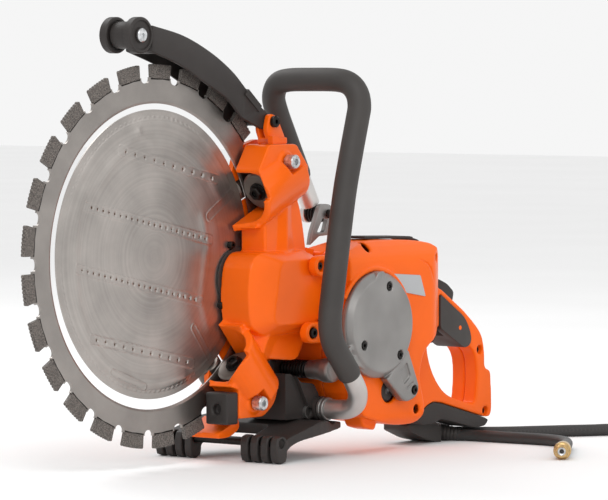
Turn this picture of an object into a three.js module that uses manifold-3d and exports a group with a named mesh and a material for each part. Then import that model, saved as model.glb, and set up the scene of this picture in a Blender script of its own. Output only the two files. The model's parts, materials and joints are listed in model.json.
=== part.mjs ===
// Hand-held electric ring saw for concrete: a rim-driven ring blade, its drive head, motor and handles.
// Millimetres. Design frame: origin at the ring blade's centre, +X to the rear handle, +Y away from the
// motor cover, +Z up. The exported group moves that frame so that the saw stands on Z = 0.
import * as THREE from 'three';
import { mergeVertices } from 'three/addons/utils/BufferGeometryUtils.js';
import Module from 'manifold-3d';

const wasm = await Module();
wasm.setup();

// ---------------------------------------------------------------- driving dimensions
const GROUND = -234.5;
const REAR_END = 538;
const NEAR_SIDE = -130.4;
const FAR_SIDE = 98.9;
const GAP = 0.3;

const ring = {
  outer: 212.5, core: 198, inner: 169, coreHalf: 1.5, segmentHalf: 2.5, count: 25, firstAngle: 87.08,
};
const segmentHalfAngle = 4.6;
const gullet = { radius: 7, centre: 200 };

const headAngle = -12.1;
const rollerAngle = { upper: headAngle + 36.5, lower: headAngle - 36.5 };
const support = { radius: 22, y: -24.4, from: 166, to: 192 };
const guide = { radius: 16, y: 18.4, from: 166, to: 192 };
const axle = { radius: 5, bore: 5.3, nutFrom: 158, nutTo: 165.7, nutRadius: 9.5, end: 203 };

const drive = { groove: 24, flange: 27.5, grooveHalf: 2.4, half: 6.5, shaft: 7 };
drive.distance = ring.inner - GAP - drive.groove;
const belt = { yLow: 26, yHigh: 40, drivePulley: 23, motorPulley: 17 };
const motor = { x: 287, z: -86, yNear: -84, rotor: 26, stator: 43, shaft: 7 };

const middle = -45;
const housing = { near: -88, far: -2, wall: 4 };
const handle = { near: -64, far: -26 };

// ---------------------------------------------------------------- materials
const paint = {
  orange: new THREE.MeshStandardMaterial({ color: 0xf0641e, roughness: 0.35, metalness: 0 }),
  darkPlastic: new THREE.MeshStandardMaterial({ color: 0x45403d, roughness: 0.6, metalness: 0 }),
  rubber: new THREE.MeshStandardMaterial({ color: 0x3b3735, roughness: 0.75, metalness: 0 }),
  alloy: new THREE.MeshStandardMaterial({ color: 0x8e8b88, roughness: 0.45, metalness: 0.8 }),
  steel: new THREE.MeshStandardMaterial({ color: 0x8c8681, roughness: 0.4, metalness: 0.9 }),
  blackSteel: new THREE.MeshStandardMaterial({ color: 0x1d1b1a, roughness: 0.5, metalness: 0.6 }),
  zinc: new THREE.MeshStandardMaterial({ color: 0xc4c6c8, roughness: 0.3, metalness: 0.9 }),
  brass: new THREE.MeshStandardMaterial({ color: 0xb08d57, roughness: 0.35, metalness: 0.9 }),
  copper: new THREE.MeshStandardMaterial({ color: 0x8a4b2c, roughness: 0.5, metalness: 0.7 }),
  label: new THREE.MeshStandardMaterial({ color: 0xaeb0b2, roughness: 0.5, metalness: 0.1 }),
};

// ---------------------------------------------------------------- solids
const radians = THREE.MathUtils.degToRad;

function solid(geometry) {
  const bare = geometry.clone();
  bare.deleteAttribute('normal');
  bare.deleteAttribute('uv');
  const welded = mergeVertices(bare, 1e-4);
  const vertProperties = new Float32Array(welded.attributes.position.array);
  const triVerts = new Uint32Array(welded.index.array);
  return new wasm.Manifold(new wasm.Mesh({ numProp: 3, vertProperties, triVerts }));
}

function geometryOf(body) {
  const mesh = body.getMesh();
  const geometry = new THREE.BufferGeometry();
  geometry.setAttribute('position', new THREE.BufferAttribute(mesh.vertProperties, 3));
  geometry.setIndex(new THREE.BufferAttribute(mesh.triVerts, 1));
  return geometry;
}

function join(...geometries) {
  return geometryOf(geometries.map(solid).reduce((sum, next) => sum.add(next)));
}

function cut(base, ...tools) {
  return geometryOf(tools.map(solid).reduce((rest, tool) => rest.subtract(tool), solid(base)));
}

function common(first, ...others) {
  return geometryOf(others.map(solid).reduce((rest, other) => rest.intersect(other), solid(first)));
}

function wrapped(...geometries) {
  return geometryOf(wasm.Manifold.hull(geometries.map(solid)));
}

// Points are [a, b] or [a, b, corner radius]; the outline closes itself.
function outline(points) {
  const shape = new THREE.Shape();
  const toward = (from, to, distance) => {
    const step = new THREE.Vector2(to[0] - from[0], to[1] - from[1]);
    const reach = Math.min(distance, step.length() * 0.48);
    return step.setLength(reach).add(new THREE.Vector2(from[0], from[1]));
  };
  points.forEach((point, index) => {
    const before = points[(index + points.length - 1) % points.length];
    const after = points[(index + 1) % points.length];
    const radius = point[2] ?? 0;
    const start = radius ? toward(point, before, radius) : new THREE.Vector2(point[0], point[1]);
    if (index === 0) shape.moveTo(start.x, start.y);
    else shape.lineTo(start.x, start.y);
    if (radius) {
      const end = toward(point, after, radius);
      shape.quadraticCurveTo(point[0], point[1], end.x, end.y);
    }
  });
  shape.closePath();
  return shape;
}

function inset(points, distance) {
  const area = points.reduce((sum, point, index) => {
    const next = points[(index + 1) % points.length];
    return sum + point[0] * next[1] - next[0] * point[1];
  }, 0);
  const side = Math.sign(area);
  return points.map((point, index) => {
    const before = points[(index + points.length - 1) % points.length];
    const after = points[(index + 1) % points.length];
    const into = new THREE.Vector2(point[0] - before[0], point[1] - before[1]).normalize();
    const out = new THREE.Vector2(after[0] - point[0], after[1] - point[1]).normalize();
    const normal = new THREE.Vector2(-into.y - out.y, into.x + out.x).normalize();
    const scale = distance / Math.max(0.5, normal.dot(new THREE.Vector2(-into.y, into.x)));
    return [point[0] + side * normal.x * scale, point[1] + side * normal.y * scale, point[2] ?? 0];
  });
}

function extruded(shape, depth, curveSegments = 3) {
  return new THREE.ExtrudeGeometry(shape, { depth, bevelEnabled: false, curveSegments });
}

// An outline of [x, z] points, thick along Y.
function sidePlate(points, yLow, yHigh, curveSegments) {
  const geometry = extruded(outline(points), yHigh - yLow, curveSegments);
  return geometry.rotateX(Math.PI / 2).translate(0, yHigh, 0);
}

// An outline of [y, z] points, thick along X.
function crossPlate(points, xLow, xHigh, curveSegments) {
  const geometry = extruded(outline(points), xHigh - xLow, curveSegments);
  const basis = new THREE.Matrix4().makeBasis(
    new THREE.Vector3(0, 1, 0), new THREE.Vector3(0, 0, 1), new THREE.Vector3(1, 0, 0));
  return geometry.applyMatrix4(basis).translate(xLow, 0, 0);
}

// An outline of [x, y] points, thick along Z.
function flatPlate(points, zLow, zHigh, curveSegments) {
  return extruded(outline(points), zHigh - zLow, curveSegments).translate(0, 0, zLow);
}

function block(xLow, xHigh, yLow, yHigh, zLow, zHigh) {
  const geometry = new THREE.BoxGeometry(xHigh - xLow, yHigh - yLow, zHigh - zLow);
  return geometry.translate((xLow + xHigh) / 2, (yLow + yHigh) / 2, (zLow + zHigh) / 2);
}

function discY(x, z, yLow, yHigh, radius, sides = 24) {
  const geometry = new THREE.CylinderGeometry(radius, radius, yHigh - yLow, sides);
  return geometry.translate(x, (yLow + yHigh) / 2, z);
}

function discX(xLow, xHigh, y, z, radius, sides = 24) {
  const geometry = new THREE.CylinderGeometry(radius, radius, xHigh - xLow, sides);
  return geometry.rotateZ(Math.PI / 2).translate((xLow + xHigh) / 2, y, z);
}

// A profile of [radius, y] points turned about the Y axis through x, z.
function turnedY(profile, x, z, sides = 24) {
  const points = profile.map(([radius, y]) => new THREE.Vector2(radius, y));
  points.push(points[0].clone());
  return new THREE.LatheGeometry(points, sides).translate(x, 0, z);
}

// Like turnedY, for a solid profile that starts and ends on the axis.
function spindleY(profile, x, z, sides = 24) {
  const points = profile.map(([radius, y]) => new THREE.Vector2(radius, y));
  return new THREE.LatheGeometry(points, sides).translate(x, 0, z);
}

// Turns a piece that was drawn along +X so that it points radially outward from the ring's centre.
function outward(geometry, degrees) {
  return geometry.rotateY(-radians(degrees));
}

function onCircle(radius, degrees) {
  return [radius * Math.cos(radians(degrees)), radius * Math.sin(radians(degrees))];
}

function route(points) {
  return new THREE.CatmullRomCurve3(points.map((p) => new THREE.Vector3(...p)), false, 'centripetal');
}

class Stretch extends THREE.Curve {
  constructor(whole, from, to) {
    super();
    Object.assign(this, { whole, from, to });
  }

  getPoint(t, target = new THREE.Vector3()) {
    return this.whole.getPointAt(this.from + (this.to - this.from) * t, target);
  }
}

function swept(path, radius, steps, sides) {
  const section = new THREE.Shape();
  for (let index = 0; index < sides; index += 1) {
    const [x, y] = onCircle(radius, (index * 360) / sides);
    if (index === 0) section.moveTo(x, y);
    else section.lineTo(x, y);
  }
  section.closePath();
  return new THREE.ExtrudeGeometry(section, { steps, extrudePath: path, bevelEnabled: false });
}

const saw = new THREE.Group();

function place(name, material, geometry, parent = saw) {
  const mesh = new THREE.Mesh(geometry, material);
  mesh.name = name;
  parent.add(mesh);
  return mesh;
}

// ---------------------------------------------------------------- ring blade and water disc
function ringBlade() {
  const annulus = new THREE.Shape().absarc(0, 0, ring.core, 0, 2 * Math.PI);
  annulus.holes.push(new THREE.Path().absarc(0, 0, ring.inner, 0, 2 * Math.PI));
  const core = extruded(annulus, 2 * ring.coreHalf, 50).rotateX(Math.PI / 2).translate(0, ring.coreHalf, 0);
  const pitch = 360 / ring.count;
  const segments = [];
  const gullets = [];
  for (let index = 0; index < ring.count; index += 1) {
    const centre = ring.firstAngle + index * pitch;
    const sweepAngles = [-segmentHalfAngle, 0, segmentHalfAngle];
    const rim = sweepAngles.map((turn) => onCircle(ring.outer, centre + turn));
    const root = sweepAngles.map((turn) => onCircle(ring.core - 1.5, centre + turn)).reverse();
    segments.push(sidePlate([...rim, ...root], -ring.segmentHalf, ring.segmentHalf));
    const [x, z] = onCircle(gullet.centre, centre + pitch / 2);
    gullets.push(discY(x, z, -ring.segmentHalf, ring.segmentHalf, gullet.radius, 12));
  }
  return join(cut(core, ...gullets), ...segments);
}

const driveCentre = onCircle(drive.distance, headAngle);
const disc = { radius: 160, z: 2.4, half: 2 };

function waterDisc() {
  const plate = discY(0, disc.z, -disc.half, disc.half, disc.radius, 72);
  const notch = discY(driveCentre[0], driveCentre[1], -disc.half - 1, disc.half + 1, 33, 32);
  const mouth = outward(block(drive.distance, 200, -5, 5, -33, 33), headAngle);
  return cut(plate, notch, mouth);
}

function driveSeal() {
  const flange = discY(driveCentre[0], driveCentre[1], -4.2, -disc.half - GAP, 36, 32);
  const hole = discY(driveCentre[0], driveCentre[1], -6, 0, 30.5, 32);
  const mouth = outward(block(drive.distance + 12, 200, -6, 0, -45, 45), headAngle);
  return cut(flange, hole, mouth);
}

place('ring_blade', paint.steel, ringBlade());
place('water_disc', paint.steel, waterDisc());
place('drive_seal', paint.rubber, driveSeal());

// ---------------------------------------------------------------- rollers on radial axles
for (const [side, angle] of Object.entries(rollerAngle)) {
  for (const [kind, roller] of Object.entries({ support, guide })) {
    const wheel = cut(
      discX(roller.from, roller.to, roller.y, 0, roller.radius, 24),
      discX(roller.from - 1, roller.to + 1, roller.y, 0, axle.bore, 12));
    place(`${kind}_roller_${side}`, paint.blackSteel, outward(wheel, angle));
    const bolt = join(
      discX(axle.nutFrom, axle.nutTo, roller.y, 0, axle.nutRadius, 6),
      discX(axle.nutFrom - 4, axle.end, roller.y, 0, axle.radius, 12));
    place(`${kind}_axle_${side}`, paint.blackSteel, outward(bolt, angle));
  }
}

// ---------------------------------------------------------------- near roller cover, one casting
const cover = { near: -42, ringFace: -4.6, wall: 4.5, lipDepth: -36, roofFace: -40, bulgeFace: -60 };
const bulgeOutline = [
  [112, -12, 12], [126, 1, 8], [206, 1, 10], [226, -6, 8], [233, -22, 6], [233, -76, 8], [220, -90, 10],
  [136, -94, 8], [113, -84, 10], [107, -50, 30],
];
const bulgeFront = [
  [148, -14, 6], [154, -9, 8], [204, -8, 10], [218, -14, 10], [224, -26, 8], [224, -70, 8], [208, -82, 10],
  [142, -80, 8], [136, -74, 8],
];
const columnOutline = [
  [142, 58], [200, 62, 10], [209, 34, 20], [215, 0, 8], [217, -92, 8], [200, -124, 10], [132, -118], [142, -20],
];

// Each hood is a shell around its support roller. Its profile is [across, y], drawn for the upper one.
// Its mouth is cut back along the roller's axis by different amounts on the rim side and the drive side.
const hoodShape = {
  profile: [[29, -4.6], [29, -40, 14], [12, -56, 16], [-14, -56, 18], [-33, -40, 14], [-33, -4.6]],
  from: 126, roomFrom: 120, roomTo: 195, axleEnd: 209,
  rimMouth: [[120, -70], [148, -70], [150, -50], [173, -24], [165, -4], [165, 0], [120, 0]],
  driveMouth: [[120, -70], [148, -70], [142, -50], [136, -24], [129, -4], [129, 0], [120, 0]],
  upper: {
    end: 222,
    roof: [[134, 93], [152, 121.7, 4], [200, 121.7, 4], [209, 111, 3], [222, 96, 3], [222, 70], [150, 60]],
    lip: [[130, 27.5], [150, 27.5], [168, 31], [168, 44], [150, 41]],
  },
  lower: {
    end: 214,
    roof: [[87, -148], [98.6, -152], [98.6, -184, 3], [142, -184, 4], [160, -172, 6], [168, -155, 8],
      [160, -138],
      [110, -120]],
    lip: [[105.5, -80.5], [119, -104], [132, -110], [136, -88], [120, -78]],
  },
};
const adjuster = {
  upper: [180.3, 102], lower: [123.4, -167.5], radius: 8, nearEnd: -56, seat: -40, bore: 4.3, shank: 4,
};

// The solid hood on one side, and what is cut out of it once it has been joined to the column.
function hood(side) {
  const angle = rollerAngle[side];
  const mirror = side === 'upper' ? 1 : -1;
  const shared = 0.05;
  const towardRim = mirror > 0 ? [-shared, 60] : [-60, shared];
  const towardDrive = mirror > 0 ? [-60, shared] : [-shared, 60];
  const { end, roof, lip } = hoodShape[side];
  const profile = hoodShape.profile.map(([t, y, r]) => [y, t * mirror, r]);
  const barrel = cut(
    outward(crossPlate(profile, hoodShape.from, end, 4), angle),
    outward(flatPlate(hoodShape.rimMouth, ...towardRim), angle),
    outward(flatPlate(hoodShape.driveMouth, ...towardDrive), angle));
  const added = join(barrel, sidePlate(roof, cover.roofFace, cover.ringFace),
    sidePlate(lip, cover.lipDepth, cover.ringFace));
  const [seatLow, seatHigh] = mirror > 0 ? [7, 45] : [-45, -7];
  const room = support.radius + 3;
  const [x, z] = adjuster[side];
  const removed = [
    outward(discX(hoodShape.roomFrom, hoodShape.roomTo, support.y, 0, room, 24), angle),
    outward(block(hoodShape.roomFrom, hoodShape.roomTo, support.y, 0, -room, room), angle),
    outward(discX(150, hoodShape.axleEnd, support.y, 0, axle.bore, 16), angle),
    outward(block(196, 240, -62, adjuster.seat, seatLow, seatHigh), angle),
    discY(x, z, adjuster.seat - 1, -13, adjuster.bore, 12),
  ];
  return { added, removed };
}

function rollerCover() {
  const column = cut(
    sidePlate(columnOutline, cover.near, cover.ringFace - 2),
    sidePlate(inset(columnOutline, cover.wall), cover.near + cover.wall, 0));
  const bulge = cut(
    join(
      sidePlate(bulgeOutline, cover.near - 4, cover.ringFace),
      wrapped(sidePlate(inset(bulgeOutline, 0.2), cover.near - 4, cover.near - 3),
        sidePlate(bulgeFront, cover.bulgeFace, cover.bulgeFace + 1))),
    sidePlate(inset(bulgeOutline, cover.wall), cover.near, 0));
  const bearingBoss = discY(...driveCentre, -44, -12, 21, 24);
  const bearingSeat = discY(...driveCentre, -33, 0, 17.3, 24);
  const wheelSpace = discY(...driveCentre, -12, 0, 29, 32);
  const bumperSpace = block(77, 98 + GAP, -40 - GAP, -7, -192, -154 + GAP);
  const hoods = Object.keys(rollerAngle).map(hood);
  const whole = join(column, bulge, bearingBoss, ...hoods.map(({ added }) => added));
  return cut(whole, bearingSeat, wheelSpace, bumperSpace, ...hoods.flatMap(({ removed }) => removed));
}

place('roller_cover', paint.orange, rollerCover());
for (const side of Object.keys(rollerAngle)) {
  const [x, z] = adjuster[side];
  const screw = join(
    discY(x, z, adjuster.nearEnd, adjuster.seat - GAP, adjuster.radius, 24),
    discY(x, z, adjuster.seat - 1, -15, adjuster.shank, 12));
  const socket = discY(x, z, adjuster.nearEnd - 1, adjuster.nearEnd + 5, 3.5, 6);
  place(`adjuster_${side}`, paint.zinc, cut(screw, socket));
}

// ---------------------------------------------------------------- drive shaft, motor and belt
place('drive_wheel', paint.steel, turnedY([
  [drive.shaft + GAP, -drive.half], [drive.flange, -drive.half], [drive.flange, -drive.grooveHalf],
  [drive.groove, -drive.grooveHalf + 0.4], [drive.groove, drive.grooveHalf - 0.4],
  [drive.flange, drive.grooveHalf], [drive.flange, drive.half], [drive.shaft + GAP, drive.half],
], ...driveCentre, 32));
place('drive_shaft', paint.steel, discY(...driveCentre, -31, belt.yHigh + 4, drive.shaft, 16));

function bearing(x, z, yLow, yHigh, bore, outer) {
  return turnedY([[bore + GAP, yLow], [outer, yLow], [outer, yHigh], [bore + GAP, yHigh]], x, z, 20);
}

place('drive_bearing_near', paint.steel, bearing(...driveCentre, -30, -18, drive.shaft, 17));
place('drive_bearing_far', paint.steel, bearing(...driveCentre, 11, 21, drive.shaft, 17));
place('motor_bearing_near', paint.steel, bearing(motor.x, motor.z, -82, -74, motor.shaft, 17));
place('motor_bearing_far', paint.steel, bearing(motor.x, motor.z, 11, 21, motor.shaft, 17));
place('motor_rotor', paint.blackSteel, spindleY([
  [0, motor.yNear], [motor.shaft, motor.yNear], [motor.shaft, -70], [motor.rotor, -70], [motor.rotor, -16],
  [motor.shaft, -16], [motor.shaft, belt.yHigh + 4], [0, belt.yHigh + 4],
], motor.x, motor.z));
place('motor_stator', paint.copper, turnedY([
  [motor.rotor + 1, -68], [motor.stator, -68], [motor.stator, -18], [motor.rotor + 1, -18],
], motor.x, motor.z, 32));

function pulley(x, z, radius) {
  const lip = radius + 2.5;
  return turnedY([
    [motor.shaft + GAP, belt.yLow - 2], [lip, belt.yLow - 2], [lip, belt.yLow - GAP],
    [radius, belt.yLow - GAP], [radius, belt.yHigh + GAP], [lip, belt.yHigh + GAP],
    [lip, belt.yHigh + 2], [motor.shaft + GAP, belt.yHigh + 2],
  ], x, z, 20);
}

place('driven_pulley', paint.alloy, pulley(...driveCentre, belt.drivePulley));
place('motor_pulley', paint.alloy, pulley(motor.x, motor.z, belt.motorPulley));

// The outline of a band around two circles, as [x, z] points.
function bandPoints(first, firstRadius, second, secondRadius, steps) {
  const along = Math.atan2(second[1] - first[1], second[0] - first[0]);
  const length = Math.hypot(second[0] - first[0], second[1] - first[1]);
  const lean = Math.acos((firstRadius - secondRadius) / length);
  const points = [];
  for (let step = 0; step <= steps; step += 1) {
    const angle = along + lean + ((2 * Math.PI - 2 * lean) * step) / steps;
    points.push([first[0] + firstRadius * Math.cos(angle), first[1] + firstRadius * Math.sin(angle)]);
  }
  for (let step = 0; step <= steps; step += 1) {
    const angle = along - lean + (2 * lean * step) / steps;
    points.push([second[0] + secondRadius * Math.cos(angle), second[1] + secondRadius * Math.sin(angle)]);
  }
  return points;
}

function band(growth, yLow, yHigh, firstRadius = 34, secondRadius = 40) {
  const motorCentre = [motor.x, motor.z];
  const points = bandPoints(driveCentre, firstRadius + growth, motorCentre, secondRadius + growth, 12);
  return sidePlate(points, yLow, yHigh);
}

function beltArm() {
  const holes = [driveCentre, [motor.x, motor.z]].map(([x, z]) => discY(x, z, 8, 24, 17.3, 24));
  return cut(band(0, 12, 20), ...holes);
}

place('drive_belt', paint.rubber, cut(
  band(3, belt.yLow, belt.yHigh, belt.drivePulley, belt.motorPulley),
  band(0.4, belt.yLow - 1, belt.yHigh + 1, belt.drivePulley, belt.motorPulley)));
place('belt_arm', paint.alloy, beltArm());
place('belt_cover', paint.orange, cut(band(0, 20 + GAP, 51), band(-4, 19, 47)));

// ---------------------------------------------------------------- far frame with the guide rollers
function headFrame() {
  const plate = [[118, 34], [150, 118, 8], [186, 128, 8], [226, 96, 8], [237, 40, 6], [237, -96, 8],
    [206, -128, 8],
    [168, -132, 8], [150, -178, 10], [98, -150, 10], [104, -88]];
  const bridge = outward(cut(
    block(217, 231, -36, 11, -50, 50),
    block(222, 226, -37, 12, -44, 44)), headAngle);
  const lugs = Object.values(rollerAngle).map((angle) => (
    outward(block(194, 212, 5, 36, -13, 13), angle)));
  const spaces = Object.values(rollerAngle).flatMap((angle) => [
    outward(discX(150, 193.5, guide.y, 0, guide.radius + 2, 28), angle),
    outward(discX(150, 214, guide.y, 0, axle.bore, 16), angle),
  ]);
  const shaftSpace = discY(...driveCentre, 0, 14, 31, 32);
  const coverSpace = [
    sidePlate(inset(columnOutline, -GAP), cover.near - 1, cover.ringFace - 2 + GAP),
    sidePlate(inset(bulgeOutline, -GAP), -61, cover.ringFace + GAP),
  ];
  return cut(join(sidePlate(plate, 5, 11.5), bridge, ...lugs), ...spaces, shaftSpace, ...coverSpace);
}

place('head_frame', paint.orange, headFrame());

// ---------------------------------------------------------------- rim guard that swings clear on its pivot
const guardPivot = { x: 174, z: 147, y: -24, radius: 5 };
const guardTop = [[-24, 255], [28, 244], [74, 226], [111, 205], [136, 184.5], [158, 166]];
const guardBottom = [[158, 145], [131, 151], [104, 173], [58, 195], [24, 211], [-24, 226]];
const guardHollow = [[-16, 247], [28, 238], [72, 220], [108, 199.5], [156, 160], [164, 120], [90, 120],
  [-16, 190]];
const guardTip = { x: -45, z: 244, boss: 15, wheel: 20, axle: 5, wheelWidth: 10.6, wheelY: 17.4 };

function guardArm() {
  const channel = cut(
    sidePlate([...guardTop, ...guardBottom], -20, 20),
    sidePlate(guardHollow, -16.5, 16.5));
  const neck = sidePlate(
    [[-58, 250, 4], [-50, 258, 6], [-20, 256], [-20, 227], [-46, 229, 6], [-58, 236, 4]], -11, 11);
  const eyes = [-20, 14].map((yLow) => cut(
    sidePlate(
      [[136, 184.5], [158, 166], [172, 157, 6], [184, 150, 8], [176, 137, 8], [164, 139, 6], [131, 151]],
      yLow, yLow + 6),
    discY(guardPivot.x, guardPivot.z, yLow - 1, yLow + 7, guardPivot.radius + GAP, 16)));
  const tipBore = discY(guardTip.x, guardTip.z, -12, 12, guardTip.axle + GAP, 16);
  const tip = discY(guardTip.x, guardTip.z, -11, 11, guardTip.boss, 24);
  return cut(join(channel, neck, tip, ...eyes), tipBore);
}

place('guard_arm', paint.darkPlastic, guardArm());
place('guard_wheel_axle', paint.zinc, discY(guardTip.x, guardTip.z, -23.5, 23.5, guardTip.axle, 16));
for (const [side, sign] of [['near', -1], ['far', 1]]) {
  const half = guardTip.wheelWidth / 2;
  const wheel = turnedY([
    [guardTip.axle + GAP, -half], [guardTip.wheel - 2, -half], [guardTip.wheel, -half + 2],
    [guardTip.wheel, half - 2], [guardTip.wheel - 2, half], [guardTip.axle + GAP, half],
  ], guardTip.x, guardTip.z, 24);
  place(`guard_wheel_${side}`, paint.darkPlastic, wheel.translate(0, sign * guardTip.wheelY, 0));
}

function guardBracket() {
  const ears = [[-27.5, -20 - GAP], [-14 + GAP, -9]];
  const plates = ears.map(([yLow, yHigh]) => sidePlate(
    [[168, 156, 5], [181, 152, 6], [197, 124, 4], [195, 122], [171, 122], [164, 138, 4]], yLow, yHigh));
  const foot = sidePlate([[171, 127], [195, 127], [195, 122], [171, 122]], -27.5, -9);
  const bore = discY(guardPivot.x, guardPivot.z, -30, 0, guardPivot.radius + GAP, 16);
  return cut(join(...plates, foot), bore);
}

place('guard_bracket', paint.orange, guardBracket());
place('guard_pivot_pin', paint.blackSteel, join(
  discY(guardPivot.x, guardPivot.z, -28, 21, guardPivot.radius, 16),
  discY(guardPivot.x, guardPivot.z, -31.5, -27.5 - GAP, 8, 6)));

// ---------------------------------------------------------------- front handle: bent tube in a rubber sleeve
const frontHandle = { tube: 11.2, sleeve: 13.4, near: -115 };
const frontRoute = route([
  [292, 10, 38], [281, 10, 58], [264, 11, 90], [242, 12, 131], [229, 13, 157], [222, 12, 174], [219, 4, 188],
  [218, -12, 193.5], [217, -48, 194.5], [217, -86, 194], [218, -103, 189.5], [218.5, -113, 179],
  [217.5, -117, 165], [214, -117, 150], [205, -116, 115], [194, -115, 70], [183, -115, 15], [172, -115, -45],
  [168, -115, -70], [169, -115, -88], [176, -115, -104], [192, -115, -124], [211, -114.5, -146],
  [221, -112, -159], [227, -105, -171], [228.5, -94, -177.8], [228, -80, -179.5], [227, -57.5, -179.5],
]);
const sleeveFrom = 0.065;
const sleeveTo = 0.875;

place('front_handle_tube', paint.alloy, swept(frontRoute, frontHandle.tube, 44, 10));
place('front_handle_grip', paint.rubber, cut(
  swept(new Stretch(frontRoute, sleeveFrom, sleeveTo), frontHandle.sleeve, 40, 12),
  swept(frontRoute, frontHandle.tube + 0.9, 44, 10)));

// ---------------------------------------------------------------- brackets and vibration dampers
const lowerBracket = [[174, -190], [216, -190, 4], [229, -184, 8], [229, -166, 6], [219, -151, 5],
  [195, -148, 3], [184, -138, 4], [174, -138]];
const tubeSocket = { x: 227, z: -179.5, yEnd: -57 };
const lowerDamper = { x: 226, z: -135.5, springTo: -38, bossEnd: -75 };

function lowerBracketBlock() {
  const body = cut(
    sidePlate(lowerBracket, -50, 18),
    sidePlate([[178, -183, 3], [208, -183, 3], [216, -160, 4], [206, -153, 3], [178, -153, 3]], -40, 19),
    sidePlate([[160, -192], [210, -192], [210, -178, 3], [192, -147], [178, -130], [160, -130]], -51, -45));
  const socket = discY(tubeSocket.x, tubeSocket.z, -56, -30, 14, 20);
  const springLug = sidePlate(
    [[200, -165], [230, -162, 6], [240, -146, 6], [240, -122, 8], [212, -122, 8], [206, -140]], 0, 16);
  return cut(join(body, socket, springLug), discY(212, -183, -52, -44, 5.3, 16));
}

place('lower_bracket', paint.darkPlastic, lowerBracketBlock());

function coil(profileRadius, wire, turns, x, z, yLow, yHigh) {
  const profile = [[profileRadius - wire, yLow]];
  const pitch = (yHigh - yLow) / turns;
  for (let turn = 0; turn < turns; turn += 1) {
    profile.push(
      [profileRadius, yLow + pitch * (turn + 0.15)],
      [profileRadius, yLow + pitch * (turn + 0.6)],
      [profileRadius - wire * 0.5, yLow + pitch * (turn + 0.8)]);
  }
  profile.push([profileRadius - wire, yHigh]);
  return turnedY(profile, x, z, 12);
}

const bossTo = lowerDamper.springTo - GAP;
place('lower_damper_spring', paint.blackSteel,
  coil(10.8, 3.6, 6, lowerDamper.x, lowerDamper.z, lowerDamper.springTo, -GAP));
place('lower_damper_boss', paint.alloy, join(
  discY(lowerDamper.x, lowerDamper.z, lowerDamper.bossEnd, bossTo, 12.5, 20),
  block(lowerDamper.x, 237.5, lowerDamper.bossEnd, bossTo - 4, lowerDamper.z - 12, lowerDamper.z + 12)));

function upperBracket() {
  const arm = sidePlate([[264, 4], [267, 18, 6], [275, 34, 6], [283, 51, 6], [302, 50, 8], [307, 40, 6],
    [302, 28, 6], [298, 14.5], [280, 13.5]], -8, -1.6);
  return cut(arm, sidePlate([[276, 18, 3], [290, 18, 3], [296, 34, 3], [288, 36, 3]], -9, 0));
}

place('upper_bracket', paint.alloy, upperBracket());

// ---------------------------------------------------------------- housing halves with the rear D-handle
const shellSide = [[239, -2, 6], [292, 11, 20], [380, 8, 20], [412, 2, 12], [428, -12, 10], [433, -40, 10],
  [432, -76, 8], [412, -98, 10], [374, -120, 16], [366, -150, 10], [378, -188, 8], [368, -204, 8],
  [336, -205, 20], [300, -199, 20], [262, -190, 10], [239, -160, 10]];
const shellPlan = [[190, housing.near], [396, housing.near, 8], [424, -71, 8], [436, -45, 20], [424, -19, 8],
  [396, housing.far, 8], [190, housing.far]];
const shellFront = [[housing.near, -196, 6], [housing.near, -10, 8], [-66, 13, 14], [-24, 13, 14],
  [housing.far, -10, 8], [housing.far, -196, 6], [-16, -210, 6], [-74, -210, 6]];
const handleSide = [[380, -40], [434, -49, 8], [453, -61, 8], [481, -78, 8], [506, -97, 10], [519, -111, 8],
  [523, -128, 8], [524, -149, 4], [535, -153, 4], [537, -176], [538, -199, 6], [534, -208, 4], [525, -207.5],
  [482, -196.5], [440, -185.5], [425, -183.5, 4], [413, -186.5, 6], [389, -202, 4], [340, -200], [340, -60]];
const handleHole = [[410, -104, 6], [412, -126, 10], [420, -147, 14], [437, -169, 14], [456, -180, 12],
  [505, -193, 10], [509, -161, 12], [507, -134, 12], [494, -121, 6], [478, -120], [436, -95]];
const lug = { centres: [[206, -16], [190.5, -91]], radius: 12, near: -73, far: -61 };
const mountBush = { x: 309, z: -163, radius: 13 };
const gripSide = [[435, -57, 4], [457, -71], [483, -87, 8], [493, -103, 6], [496, -114, 5], [492, -121, 5],
  [482, -124, 6], [462, -113, 8], [435, -98, 4]];

function housingShell() {
  const outside = common(
    sidePlate(shellSide, housing.near, housing.far),
    flatPlate(shellPlan, -230, 40),
    crossPlate(shellFront, 180, 480));
  const inside = common(
    sidePlate(inset(shellSide, housing.wall), housing.near, housing.far),
    flatPlate(inset(shellPlan, housing.wall), -230, 40),
    crossPlate(inset(shellFront, housing.wall), 180, 480));
  const rearHandle = cut(
    sidePlate(handleSide, handle.near, handle.far),
    sidePlate(handleHole, handle.near - 1, handle.far + 1));
  const frontLugs = lug.centres.map(([x, z]) => join(
    discY(x, z, lug.near, lug.far, lug.radius, 20),
    block(x, 241, lug.near, lug.far, z - lug.radius, z + lug.radius)));
  const openings = [
    sidePlate(inset(gripSide, -GAP), handle.near - 2, handle.far + 2),
    discY(motor.x, motor.z, housing.near - 1, housing.near + 8, motor.stator + 3, 36),
    discY(motor.x, motor.z, housing.far - 8, housing.far + 1, motor.shaft + 2, 16),
    discY(mountBush.x, mountBush.z, housing.near - 1, -70, mountBush.radius + GAP, 20),
    block(420, 454, -55, -35, -104, -82),
    block(430, 482, -55, -35, -74, -30),
    flatPlate([[392, -60], [430, -60], [430, -14], [392, -14]], -215, -198),
  ];
  return cut(join(cut(outside, inside), rearHandle, ...frontLugs), ...openings);
}

const wholeHousing = housingShell();
const split = 0.15;
place('housing_near', paint.orange, common(wholeHousing, block(150, 600, -150, middle - split, -260, 80)));
place('housing_far', paint.orange, common(wholeHousing, block(150, 600, middle + split, 60, -260, 80)));

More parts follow.
